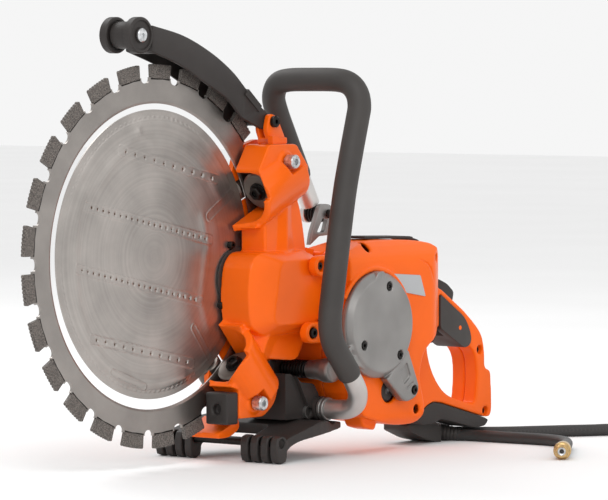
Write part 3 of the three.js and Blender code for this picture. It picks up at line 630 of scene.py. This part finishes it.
# ---- water disc: a pressed sheet with outlet slots
DISC_RADIUS, DISC_CENTRE_Z = 160.0, 2.4
DISC_SEAM = 150.0
SLOT_HALF = 5.2
HOLE_ROWS = [((-46.8, 116.5), (97.1, 84.6), 10), ((-102.1, 56.8), (86.3, 16.9), 21),
             ((-118.0, -10.8), (69.0, -50.7), 21), ((-94.8, -87.9), (54.8, -119.6), 11)]
SLOT_REACH = 9.0
POCKETS = [((94, 42), (131, 66), 5.0), ((67, -82), (97, -121), 4.0), ((-70, -124), (-18, -143), 3.6)]
CREASES = [[(-26, 137), (-45, 124), (-70, 102), (-90, 81), (-114, 75), (-123, 60), (-129, 33), (-131, -7),
            (-126, -50), (-108, -88), (-84, -112), (-40, -133), (10, -140), (50, -136)],
           [(-26, 137), (0, 126), (42, 120), (68, 108), (94, 88), (112, 62)],
           [(82, 40), (90, 10), (84, -30), (80, -52), (92, -84)]]


def from_segment(x, z, start, end):
    """Distance of a point from a line piece, and how far along it the nearest point is in mm."""
    dx, dz = end[0] - start[0], end[1] - start[1]
    length = math.hypot(dx, dz)
    along = max(0.0, min(length, ((x - start[0]) * dx + (z - start[1]) * dz) / length))
    return math.hypot(x - start[0] - dx * along / length, z - start[1] - dz * along / length), along, length


def disc_height(x, z):
    """How far the pressed sheet stands out at a point, in mm, and whether the point is in a water hole."""
    radius = math.hypot(x, z - DISC_CENTRE_Z)
    angle = math.degrees(math.atan2(z - DISC_CENTRE_Z, x))
    height = 0.7 / (1 + math.exp((radius - DISC_SEAM) / 0.7))
    if abs(radius - DISC_SEAM - 2.0) < 1.1 and not -62 < angle < 58:
        height += 0.3 * math.cos(math.radians(angle * 60)) ** 2
    hole = False
    for start, end, count in HOLE_ROWS:
        distance, along, length = from_segment(x, z, start, end)
        if distance > SLOT_REACH + 4:
            continue
        direction = ((end[0] - start[0]) / length, (end[1] - start[1]) / length)
        low = (start[0] - direction[0] * SLOT_REACH, start[1] - direction[1] * SLOT_REACH)
        high = (end[0] + direction[0] * SLOT_REACH, end[1] + direction[1] * SLOT_REACH)
        rim = from_segment(x, z, low, high)[0]
        height += 0.55 * math.exp(-((rim - SLOT_HALF) / 0.7) ** 2) + (0.15 if rim < SLOT_HALF else 0)
        pitch = length / (count - 1)
        nearest = round(along / pitch) * pitch
        off = math.hypot(along - nearest, distance)
        if off < 1.9 and distance < 2:
            hole = off < 1.7
            height -= 0.9
    for start, end, half in POCKETS:
        rim = from_segment(x, z, start, end)[0]
        height += 0.5 * math.exp(-((rim - half) / 0.7) ** 2)
    for line in CREASES:
        nearest = min(from_segment(x, z, a, b)[0] for a, b in zip(line, line[1:]))
        height += 0.75 * math.exp(-(nearest / 6.5) ** 2)
    return height, hole


def water_disc():
    count = 330
    rows, verts, holes = [], [], set()
    for row in range(count + 1):
        v = -1 + 2 * row / count
        rows.append([])
        for column in range(count + 1):
            u = -1 + 2 * column / count
            x = DISC_RADIUS * u * math.sqrt(1 - v * v / 2)
            z = DISC_CENTRE_Z + DISC_RADIUS * v * math.sqrt(1 - u * u / 2)
            height, hole = disc_height(x, z)
            if hole:
                holes.add(len(verts))
            rows[-1].append(len(verts))
            verts.append((x, -0.4 - height, z))
    faces, hole_faces = [], []
    for low, high in zip(rows, rows[1:]):
        for column in range(count):
            face = [low[column], low[column + 1], high[column + 1], high[column]]
            if all(index in holes for index in face):
                hole_faces.append(len(faces))
            faces.append(face)
    edge = rows[0][:-1] + [row[-1] for row in rows[:-1]] + rows[-1][:0:-1] + [row[0] for row in rows[:0:-1]]
    back = list(range(len(verts), len(verts) + len(edge)))
    verts += [(verts[index][0], 1.2, verts[index][2]) for index in edge]
    faces += walls([edge, back])
    faces.append(back)
    disc = mesh_object("pressed_disc", verts, faces)
    disc.data.materials.append(look["disc_steel"])
    # Faces in the water holes take the dark brown painted shade instead of being cut open.
    disc.data.materials.append(look["painted_hole_shade"])
    for index in hole_faces:
        disc.data.polygons[index].material_index = 1
    notch = disc_y("notch", *DRIVE_CENTRE, -4, 4, 33)
    mouth = outward(block("mouth", (144.7, 200), (-3.6, 3.6), (-32.9, 32.9)), HEAD_ANGLE)
    return smooth(subtract(disc, notch, mouth), 40)


disc = water_disc()
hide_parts("water_disc")
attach(disc, "saw_body")


# ---- roller cover casting
ADJUSTERS = {"upper": (180.3, 102), "lower": (123.4, -167.5)}


def loft(name, layers):
    """A solid through (x, y) outlines with the same corners at several heights: [(points, z), ...]."""
    return stacked(name, [[(x, y, z) for x, y in rounded(points)] for points, z in layers])


def roller_cover():
    """The CAD casting with the ridges down its column and the pads under its screws, all filleted."""
    ridges = [
        loft("upper_ridge", [([(150, -38), (176, -47), (206, -38), (206, -33), (150, -33)], 0),
                             ([(152, -38), (177, -46), (198, -38), (198, -33), (152, -33)], 62)]),
        loft("lower_ridge", [([(130, -34), (148, -49), (198, -38), (198, -31), (130, -31)], -78),
                             ([(120, -34), (130, -47), (164, -38), (164, -31), (120, -31)], -118)]),
    ]
    for x, z in ADJUSTERS.values():
        ridges.append(turned("pad", [(5, -42.5), (11, -42.5), (13, -40), (13, -36), (5, -36)], (x, 0, z)))
    casting = gather("roller_casting", [copy_of("roller_cover", "roller_cover_copy"), *ridges])
    return cast(casting, 1.1, 8, 0.5)


dress(roller_cover(), "orange_casting", "saw_body", "roller_cover")


# ---- rollers, their bolts and the adjusters
WASHER_LIP = 2.2


def bolt_head(radius, height, socket):
    """A hexagon head with a socket, on its washer, along +X from 0 (outer end) to height."""
    rim = radius + WASHER_LIP
    head_profile = [(0, 0), (radius - 1, 0), (radius, 1), (radius, height), (0, height)]
    washer_profile = [(0, height - 0.5), (rim, height - 0.5), (rim, height + 1.2), (0, height + 1.2)]
    head = union(turned("head", head_profile, (0, 0, 0), 6, "x"),
                 turned("washer", washer_profile, (0, 0, 0), 32, "x"))
    return subtract(head, disc_x("socket", -1, 3, 0, 0, socket, 6))


def moved(piece, x, y, z):
    piece.data.transform(Matrix.Translation(Vector((x, y, z)) * MM))
    return piece


BOLT_TOP = 158.2
# each kind's place along Y, its (radius, distance from the ring's centre) profile, and its sides
ROLLERS = {"support": (-24.4, [(5.3, 166), (19.5, 166), (22, 168), (22, 190), (20, 192), (5.3, 192)], 72),
           "guide": (18.4, [(5.3, 166), (14.5, 166), (16, 167.5), (16, 190), (14.5, 192), (5.3, 192)], 64)}
for side, angle in ROLLER_ANGLE.items():
    for kind, (y, profile, sides) in ROLLERS.items():
        name = f"{kind}_roller"
        wheel = smooth(outward(turned(name, profile, (0, y, 0), sides, "x"), angle), 30)
        dress(wheel, "black_steel", f"{name}_{side}", f"{name}_{side}", material="roller_steel")
    for kind, (y, *_) in ROLLERS.items():
        head = moved(bolt_head(8.2, 6.2, 4.0), BOLT_TOP, y, 0)
        bolt = outward(union(head, disc_x("stem", 164, 203, y, 0, 5)), angle)
        dress(softened(bolt, 0.4, 2), "black_steel", "saw_body", f"{kind}_axle_{side}")

ADJUSTER_PROFILE = [(0, -51), (3.6, -51), (3.6, -56), (6.8, -56), (8, -54.8), (8, -44.5), (4, -44.5),
                    (4, -15), (0, -15)]
for side, (x, z) in ADJUSTERS.items():
    screw = turned("adjuster", ADJUSTER_PROFILE, (x, 0, z))
    flutes = []
    for step in range(6):
        a, b = polar(8.6, 60 * step)
        flutes.append(disc_y("flute", x + a, z + b, -58, -42, 1.1, 12))
    screw = smooth(subtract(screw, gather("flutes", flutes)), 30)
    dress(screw, "zinc_steel", f"adjuster_{side}", f"adjuster_{side}")


# ---- rim guard
GUARD_TOP = [(-24, 255), (28, 244), (74, 226), (111, 205), (136, 184.5), (158, 166)]
GUARD_BOTTOM = [(158, 145), (131, 151), (104, 173), (58, 195), (24, 211), (-24, 226)]
GUARD_HOLLOW_TOP = [(-16, 247), (28, 238), (72, 220), (108, 199.5), (156, 160)]
GUARD_PIVOT = (174, 147)
GUARD_TIP = (-45, 244)
GUARD_NECK = [(-58, 250, 6), (-50, 258, 8), (-18, 254), (-18, 229), (-46, 229, 8), (-58, 236, 6)]
GUARD_EYE = [(136, 184.5), (158, 166), (172, 157, 8), (184, 150, 10), (176, 137, 10), (164, 139, 8),
             (131, 151)]
GUARD_WHEEL = [(5.3, -5.3), (8.5, -5.3), (8.5, -3.4), (16, -3.4), (16.5, -5.3), (18.6, -5.3), (20, -4),
               (20, 4), (18.6, 5.3), (16.5, 5.3), (16, 3.4), (8.5, 3.4), (8.5, 5.3), (5.3, 5.3)]
WHEEL_AXLE = [(0, -23.2), (2.4, -23.2), (2.4, -25), (6.5, -25), (7.6, -24), (7.6, -22.8), (5, -22.8),
              (5, 22.8), (7.6, 22.8), (7.6, 24.2), (0, 24.2)]
BRACKET_EAR = [(168, 157, 7), (181, 153, 7), (198, 124, 4), (195, 122), (171, 122), (163, 138, 5)]
PIVOT_PIN = [(0, -29.5), (2.6, -29.5), (2.6, -32.5), (5.6, -32.5), (6.5, -31.6), (6.5, -27.9), (5, -27.9),
             (5, 21), (0, 21)]


def flat_smooth(points):
    return [tuple(p)[:2] for p in smooth_line([(x, z, 0) for x, z in points], 6)]


def guard_arm():
    outline = flat_smooth(GUARD_TOP) + flat_smooth(GUARD_BOTTOM)
    arm = softened(prism("guard", outline, -20, 20), 1.6, 3)
    hollow = flat_smooth(GUARD_HOLLOW_TOP) + [(164, 120), (90, 120), (-16, 190)]
    arm = subtract(arm, prism("hollow", hollow, -16.5, 16.5))
    webs = [block("web", (x - 1.2, x + 1.2), (-17, 17), (z - 14, z))
            for x, z in ((10, 240), (46, 229), (82, 214))]
    neck = softened(prism("neck", GUARD_NECK, -11, 11), 1.5)
    boss = softened(disc_y("boss", *GUARD_TIP, -11, 11, 15), 1.0)
    eyes = []
    for low in (-20, 14):
        eye = prism("eye", GUARD_EYE, low, low + 6)
        eyes.append(softened(subtract(eye, disc_y("bore", *GUARD_PIVOT, low - 1, low + 7, 5.3)), 0.8))
    flange = prism("flange", [(131, 178), (137, 184), (160, 165), (156, 158)], -22.5, -19)
    arm = union(arm, neck, boss, *eyes, flange, *webs)
    return smooth(subtract(arm, disc_y("bore", *GUARD_TIP, -12, 12, 5.3)), 30)


dress(guard_arm(), "dark_plastic", "guard_arm", "guard_arm")
for side, sign in (("near", -1), ("far", 1)):
    name = f"guard_wheel_{side}"
    spun("guard_wheel", GUARD_WHEEL, spot(GUARD_TIP, sign * 17.4), "dark_plastic", name, body=name)
spun("wheel_axle", WHEEL_AXLE, spot(GUARD_TIP), "zinc_steel", "guard_wheel_axle", body="guard_arm")


def guard_bracket():
    plates = [softened(prism("ear", BRACKET_EAR, low, high), 1.2)
              for low, high in ((-27.5, -20.3), (-13.7, -9))]
    base = prism("foot", [(168, 129, 2), (197, 129, 2), (197, 122), (168, 122)], -29, -9)
    base = softened(base, 1.0)
    gusset = prism("gusset", [(166, 131), (171, 131), (190, 125), (190, 122), (166, 122)], -33, -26)
    bracket = union(*plates, base, gusset)
    return smooth(subtract(bracket, disc_y("bore", *GUARD_PIVOT, -31, 0, 5.3)), 30)


dress(guard_bracket(), "orange_casting", "saw_body", "guard_bracket")
spun("pivot", PIVOT_PIN, spot(GUARD_PIVOT), "black_steel", "guard_pivot_pin")


# ---- motor housing with the rear D-handle
NEAR = -88
HANDLE_NEAR = -64
COVER_CENTRE = (281, -85.5)
BUSH = (309, -163)
LUGS = [(206, -16), (190.5, -91)]
LUG_FACE = -73
HOUSING_SCREWS = [(282, 2, -71), (405, -13, -71), (361, -187, NEAR), (514, -127, HANDLE_NEAR),
                  (525, -200.5, HANDLE_NEAR)]
DISC_SCREWS = [(128.2, 8.5), (110.8, -58.4)]
ARCH_INNER, ARCH_OUTER = 61.3, 66.5
ARCH_FROM, ARCH_TO, ARCH_STEPS = -8, 150, 48


def cover_arch():
    """The raised part of a flat ring about the motor cover."""
    span = ARCH_TO - ARCH_FROM
    angles = [ARCH_FROM + span * step / ARCH_STEPS for step in range(ARCH_STEPS + 1)]
    rim = [polar(ARCH_OUTER, angle) for angle in angles]
    rim += [polar(ARCH_INNER, angle) for angle in reversed(angles)]
    return prism("arch", [(COVER_CENTRE[0] + a, COVER_CENTRE[1] + b) for a, b in rim], -91.5, NEAR + 1)


SHOULDER = [(386, 14), (386, 9.8), (398, 7, 16), (418, -6, 24), (431, -26, 24), (435, -52), (452, -52),
            (452, 14)]
HEEL = [(268, -190, 4), (300, -196, 4), (296, -208, 4), (274, -203, 4)]
BRACE = [(402, 4.2), (417.8, -6.1, 24), (423.5, -14.8), (420, -17), (413.5, -8.5, 12), (400, 0.6)]
BRACE_SPAN = {"near": (-69, -45.2), "far": (-44.8, -21)}
LEDGE = [(240, -7.4), (282, -6.3), (332, -8.1), (370, -14.7), (387, -24.8), (395.7, -47.4), (397.5, -77)]


def housing_half(side):
    shell = copy_of(f"housing_{side}", f"housing_{side}_copy")
    shell = subtract(shell, prism("shoulder", SHOULDER, -100, 20, steps=12))
    added = [prism("brace", BRACE, *BRACE_SPAN[side])]
    if side == "near":
        holes = [disc_y("hole", x, z, y - 30, y + 7, 5.4, 32) for x, z, y in HOUSING_SCREWS]
        holes += [disc_y("hole", x, z, LUG_FACE - 1, LUG_FACE + 7, 6.6, 32) for x, z in LUGS]
        shell = subtract(shell, *holes)
        added += [cover_arch(), prism("heel", HEEL, -78, -52)]
    shell = gather(f"housing_{side}_casting", [shell, *added])
    shell = cast(shell, 1.25, 9, 0.45)
    if side == "near":
        shell = subtract(shell, tube("ledge", [(x, NEAR - 0.3, z) for x, z in LEDGE], 1.1, 12))
    return shell


for side in ("near", "far"):
    dress(housing_half(side), "orange_plastic", "saw_body", f"housing_{side}")


# ---- motor cover
COVER_SCREWS = [(293, -41.5), (247, -107), (313, -121)]
ARM_SCREW = (341, -163)
ARM = [(290, -148), (330, -116), (341, -140, 8), (351, -161, 9), (344, -172, 9), (324, -177, 9)]
COVER_LUG = [(217, -112, 3), (238, -99, 3), (262, -120), (252, -136, 4), (244, -132, 4), (221, -124, 4)]
COVER_PROFILE = [(0, -102), (53, -102), (54.2, -101.5), (59.9, -95.4), (60.6, -94), (60.6, -88.3),
                 (56.5, -88.3), (56.5, -92), (50, -97.5), (0, -97.5)]
MOTOR_BOSS = [(0, -98.5), (21, -98.5), (21, -73.5), (17.3, -73.5), (17.3, -88), (0, -88)]


def motor_cover():
    dome = turned("cover", COVER_PROFILE, spot(COVER_CENTRE), 160)
    boss = turned("boss", MOTOR_BOSS, spot(MOTOR_CENTRE))
    dome = subtract(dome, *[disc_y("hole", x, z, -106, -99, 5.6, 40) for x, z in COVER_SCREWS])
    arm = softened(prism("arm", ARM, -100.5, -88.3), 2.0, 3)
    pocket = prism("pocket", [(313, -141, 3), (327, -130, 3), (334, -147, 3), (322, -156, 3)], -106, -97.5)
    pocket = softened(pocket, 0.8)
    slot = prism("slot", [(326, -160, 1), (338, -153, 1), (339, -156, 1), (327, -163, 1)], -106, -98.5)
    arm = subtract(arm, pocket, slot, disc_y("hole", *ARM_SCREW, -106, -97, 5.6, 40))
    lug = softened(prism("lug", COVER_LUG, -99, -88.3), 1.2)
    hollow = prism("pocket", [(226, -113, 2), (237, -107, 2), (240, -118, 2), (230, -119, 2)], -104, -96)
    lug = subtract(lug, hollow)
    tab = softened(prism("tab", [(264, -40), (272, -24.6, 3), (284, -23.6, 3), (284, -40)], -101.9, -89), 1.0)
    tab = subtract(tab, prism("notch", [(276.4, -36), (279, -22), (281, -22), (278.6, -37)], -106, -100))
    return cast(gather("cover_casting", [dome, boss, arm, lug, tab]), 0.9, 5, 0.5)


dress(motor_cover(), "cast_alloy", "saw_body", "motor_cover")


def socket_screw(x, z, face, radius, length):
    """A socket-head screw whose head faces -Y at the given height."""
    head = turned("screw", [
        (0, face + 2.6), (radius * 0.48, face + 2.6), (radius * 0.48, face), (radius - 0.5, face),
        (radius, face + 0.5), (radius, face + length), (0, face + length)], (x, 0, z), 24)
    return smooth(head, 30)


screws = [socket_screw(x, z, -101.6, 4.3, 4) for x, z in [*COVER_SCREWS, ARM_SCREW]]
screws += [socket_screw(x, z, y + 5.5, 4.6, 5) for x, z, y in HOUSING_SCREWS]
screws += [socket_screw(x, z, -7, 4.2, 6.5) for x, z in DISC_SCREWS]
screws.append(socket_screw(*LUGS[0], LUG_FACE + 3, 4.2, 5))
screws.append(socket_screw(*LUGS[1], LUG_FACE - 1.5, 5.6, 9))
dress(gather("body_screws", screws), "black_steel", "saw_body")
dress(turned("grip_screw", [(0, -65.8), (2, -65.8), (3.2, -65.2), (3.2, -61), (0, -61)], (473, 0, -99), 32),
      "orange_plastic", "saw_body")
spun("mount_bush", [(4, -85.4), (10, -85.4), (12.6, -83), (12.6, -71), (4, -71)], spot(BUSH), "rubber")
spun("bush_core", [(0, -84.4), (2, -84.4), (2, -84.9), (3.8, -84.9), (3.8, -72), (0, -72)], spot(BUSH),
     "zinc_steel", sides=32)


# ---- front handle: bent tube in a rubber sleeve
TUBE_RADIUS, SLEEVE_RADIUS = 11.2, 13.4
FRONT_ROUTE = [
    (292, 10, 38), (281, 10, 58), (264, 11, 90), (242, 12, 131), (229, 13, 157), (222, 12, 174),
    (219, 4, 188), (218, -12, 193.5), (217, -48, 194.5), (217, -86, 194), (218, -103, 189.5),
    (218.5, -113, 179), (217.5, -117, 165), (214, -117, 150), (205, -116, 115), (194, -115, 70),
    (183, -115, 15), (172, -115, -45), (168, -115, -70), (169, -115, -88), (176, -115, -104),
    (192, -115, -124), (211, -114.5, -146), (221, -112, -159), (227, -105, -171), (228.5, -94, -177.8),
    (228, -80, -179.5), (227, -57.5, -179.5)]
TUBE_FROM, SLEEVE_FROM, SLEEVE_TO = 0.018, 0.065, 0.875
TUBE_END = (227, 0, -179.5)


def stretch_of(points, start, end):
    """The part of a smooth line between two shares of its length."""
    line = smooth_line(points, 8)
    walked = [0.0]
    for before, after in zip(line, line[1:]):
        walked.append(walked[-1] + (after - before).length)
    return [point for point, distance in zip(line, walked) if start <= distance / walked[-1] <= end]


bare_tube = tube("front_tube", stretch_of(FRONT_ROUTE, TUBE_FROM, 1), TUBE_RADIUS, 40, 1)
dress(softened(bare_tube, 0.8, 2, 50), "cast_alloy", "saw_body", "front_handle_tube", material="tube_alloy")


def sleeve():
    line = stretch_of(FRONT_ROUTE, SLEEVE_FROM, SLEEVE_TO)
    radii = [SLEEVE_RADIUS - 1.2] + [SLEEVE_RADIUS] * (len(line) - 2) + [SLEEVE_RADIUS - 1.2]
    return smooth(tube("front_sleeve", line, radii, 40, 1), 50)


dress(sleeve(), "rubber", "saw_body", "front_handle_grip")
collar_profile = [(11.3, -60.8), (12.4, -60.8), (13.2, -59.9), (13.2, -57.4), (12.4, -56.5), (11.3, -56.5)]
collars = [turned("collar", [(radius, height - step) for radius, height in collar_profile], TUBE_END, 48)
           for step in (0, 4.8)]
dress(smooth(gather("tube_collars", collars), 30), "cast_alloy", "saw_body")


# ---- vibration dampers and brackets
def coil_spring(name, x, z, low, high, radius, wire, turns):
    count = turns * 20
    points = []
    for step in range(count + 1):
        a, b = polar(radius, 360 * step / 20)
        points.append((x + a, low + (high - low) * step / count, z + b))
    return smooth(tube(name, points, wire, 10, 1), 60)


LOWER_DAMPER = (226, -135.5)
UPPER_DAMPER = (297, 39)
dress(coil_spring("lower_spring", *LOWER_DAMPER, -36.6, -2.2, 8.9, 1.8, 8), "black_steel", "saw_body",
      "lower_damper_spring")
boss = turned("damper_boss", [
    (0, -75), (10, -75), (13, -73.6), (14, -70), (14, -62), (11.6, -52), (11, -45), (11, -38.4), (0, -38.4)],
    spot(LOWER_DAMPER))
boss = gather("lower_boss", [boss, block("foot", (226, 237.6), (-73, -43), (-146.5, -124.5))])
dress(cast(boss, 0.7, 4, 0.6), "cast_alloy", "saw_body", "lower_damper_boss")
dress(coil_spring("upper_spring", *UPPER_DAMPER, 0.4, 20.5, 8.6, 1.7, 5), "black_steel", "saw_body")
spun("upper_damper_cap", [(0, 20), (10.4, 20), (11, 20.8), (11, 26), (10, 27), (0, 27)], spot(UPPER_DAMPER),
     "cast_alloy", sides=48, material="tube_alloy")
dress(socket_screw(*UPPER_DAMPER, -12.6, 5.2, 4.8), "black_steel", "saw_body")
PLUG_HOLE = (212, -183)
PLUG_PROFILE = [(0, -46.5), (4.4, -46.5), (5, -48.5), (6.4, -48.5), (7, -47.7), (7, -44.8), (0, -44.8)]
spun("bracket_plug", PLUG_PROFILE, spot(PLUG_HOLE), "rubber", sides=48)
spun("plug_ring", [(6.9, -48.9), (7.7, -48.9), (7.7, -44.8), (6.9, -44.8)], spot(PLUG_HOLE), "cast_alloy",
     sides=48)
foot = cast(copy_of("foot", "foot_copy"), 1.1, 6, 0.5)
dress(foot, "dark_plastic", "saw_body", "foot")
rod_profile = [(0, -81), (3, -81), (4.8, -80), (4.8, 96.8), (3, 97.8), (0, 97.8)]
spun("foot_axle", rod_profile, (124.5, 0, -211.5), "black_steel", "foot_rod", sides=32)


# ---- what is on the cords
RELIEF_LENGTH, RELIEF_STEPS = 26.0, 24
RELIEF_ROOT, RELIEF_TIP, RELIEF_GROOVE = 3.4, 0.5, 0.9


def relief(name, start, toward, radius):
    """A ribbed strain relief that tapers along the cord from its exit."""
    along = (Vector(toward) - Vector(start)).normalized()
    points, radii = [], []
    for step in range(RELIEF_STEPS + 1):
        share = step / RELIEF_STEPS
        taper = radius + RELIEF_ROOT + (RELIEF_TIP - RELIEF_ROOT) * share
        centre = Vector(start) + along * RELIEF_LENGTH * share
        points.append((centre.x, centre.y, GROUND + taper + 0.2))
        radii.append(taper - (RELIEF_GROOVE if step % 4 == 2 else 0))
    return smooth(tube(name, points, radii, 32, 1), 60)


PLUG_Y, PLUG_Z = -183, -211.4
plug_profile = [
    (0, 770.3), (8.6, 770.3), (9.4, 778), (9.4, 790), (15, 794), (21, 797), (22.6, 800), (22.6, 818),
    (21.4, 819), (21.4, 824), (22.6, 825), (22.6, 876), (21, 879.5), (17, 879.5), (17, 868), (0, 868)]
plug_ribs = [block("rib", (828, 872), (y - 1.2, y + 1.2), (PLUG_Z - 2, PLUG_Z + 2))
             for y in (PLUG_Y - 21.5, PLUG_Y + 21.5)]
plug_body = smooth(turned("cable_plug_body", plug_profile, (0, PLUG_Y, PLUG_Z), 64, "x"), 30)
plug_body = gather("cable_plug_body", [plug_body, *plug_ribs])
dress(plug_body, "dark_plastic", "saw_body", "cable_plug")
plug_pins = []
for turn_angle in (90, 210, 330):
    a, b = polar(8, turn_angle)
    plug_pins.append(turned("pin", [(0, 867), (2.4, 867), (2.4, 876.5), (1.6, 877.5), (0, 877.5)],
                            (0, PLUG_Y + a, PLUG_Z + b), 20, "x"))
dress(smooth(gather("cable_plug_pins", plug_pins), 30), "brass", "saw_body")

HOSE_TIP, HOSE_AIM = Vector((390.7, -275.2)), Vector((361, -294.5))


def hose_piece(name, profile, slot, *stands_for):
    """A turned piece on the hose's end; the profile's heights are distances along the connector."""
    piece = turned(name, profile, (0, 0, 0), 64, "x")
    way = HOSE_AIM - HOSE_TIP
    piece.data.transform(Matrix.Translation(-RING_CENTRE))
    piece.data.transform(Matrix.Rotation(math.atan2(way.y, way.x), 4, "Z"))
    piece.data.transform(Matrix.Translation(at(HOSE_TIP.x, HOSE_TIP.y, GROUND + 10.1)))
    return dress(smooth(piece, 30), slot, "saw_body", *stands_for)


CONNECTOR = [
    (0, 0), (7.6, 0), (8.4, 1), (8.4, 5), (9.6, 6), (9.6, 11), (8.4, 12), (8.4, 14), (10, 15), (10, 25),
    (9, 26), (7.6, 26.6), (7.6, 33.6), (6.6, 35.2), (4.8, 35.2), (4.8, 27), (0, 27)]
connector = hose_piece("hose_end", CONNECTOR, "brass", "hose_connector")
hose_piece("hose_seat", [(2.7, 31), (4.7, 31), (4.7, 35), (4.2, 35.4), (2.7, 34.6)], "zinc_steel")
hose_piece("hose_valve", [(0, 28), (2.6, 28), (2.6, 32.4), (0, 32.4)], "rubber")
cable_relief = relief("cable_relief", CABLE_ROUTE[0], CABLE_ROUTE[1], CABLE_RADIUS)
hose_relief = relief("hose_relief", HOSE_ROUTE[0], HOSE_ROUTE[1], HOSE_RADIUS)
for piece in (cable_relief, hose_relief):
    dress(piece, "rubber", "saw_body")
cord("power_cord", CABLE_ROUTE, CABLE_RADIUS, "braid", "power_cable")
cord("supply_hose", HOSE_ROUTE, HOSE_RADIUS, "hose_rubber", "water_hose")


# ---- bevelled copies of plain CAD parts
def refine(node_name, width):
    piece = copy_of(node_name, node_name + "_fine")
    if node_name == "top_cover":
        piece = subtract(piece, prism("shoulder", SHOULDER, -100, 20, steps=12))
    piece = softened(piece, width, 3, 30)
    return dress(piece, record_slots[node_name], nodes[node_name]["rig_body"], node_name)


for node_name, width in {
    "rear_lower_cover": 1.5, "trigger": 1.5, "trigger_lockout": 1.5, "bumper_block": 2.5,
    "lower_bracket": 1.5, "upper_bracket": 1.0, "top_cover": 0.8, "lower_ring_guard": 1.2,
    "cord_boot": 2.0, "belt_cover": 2.0, "belt_arm": 1.0, "rear_grip": 1.2,
}.items():
    refine(node_name, width)


def label_plate():
    plate = prism("label", [(310, -28), (366, -32, 2), (376, -57, 2), (326, -49)], NEAR - 1.1, NEAR - 0.3)
    plate = subtract(plate, disc_y("cover", *COVER_CENTRE, NEAR - 3, NEAR + 1, 61, 96))
    return softened(plate, 0.25)


dress(label_plate(), "label_grey", "saw_body", "label_plate")


# ---- studio
LIGHTS = [("key", (-1.9, -1.6, 2.2), 0.9, 24), ("fill", (1.4, -2.6, 1.6), 1.2, 4),
          ("back", (0.4, 2.4, 2.2), 1.4, 26)]


def make_studio():
    floor = add_object("floor", bpy.data.meshes.new("floor"))
    bm = bmesh.new()
    bmesh.ops.create_grid(bm, x_segments=1, y_segments=1, size=12)
    bm.to_mesh(floor.data)
    bm.free()
    material, tree, shader = new_material("floor")
    paint(tree, shader, noise(tree, 2.0, 2.0), [(0.3, (0.9, 0.9, 0.9)), (0.7, (0.92, 0.92, 0.92))])
    shader.inputs["Roughness"].default_value = 0.9
    floor.data.materials.append(material)
    world = bpy.data.worlds.new("world")
    world.use_nodes = True
    background = world.node_tree.nodes["Background"]
    background.inputs["Color"].default_value = (1, 1, 1, 1)
    background.inputs["Strength"].default_value = 0.92
    bpy.context.scene.world = world
    bpy.context.scene.view_settings.view_transform = "Standard"
    for name, place, size, power in LIGHTS:
        data = bpy.data.lights.new(name, "AREA")
        data.size = size
        data.energy = power
        lamp = add_object(name, data)
        lamp.location = place
        lamp.rotation_mode = "QUATERNION"
        lamp.rotation_quaternion = (Vector((0, 0, 0.2)) - Vector(place)).to_track_quat("-Z", "Y")


make_studio()
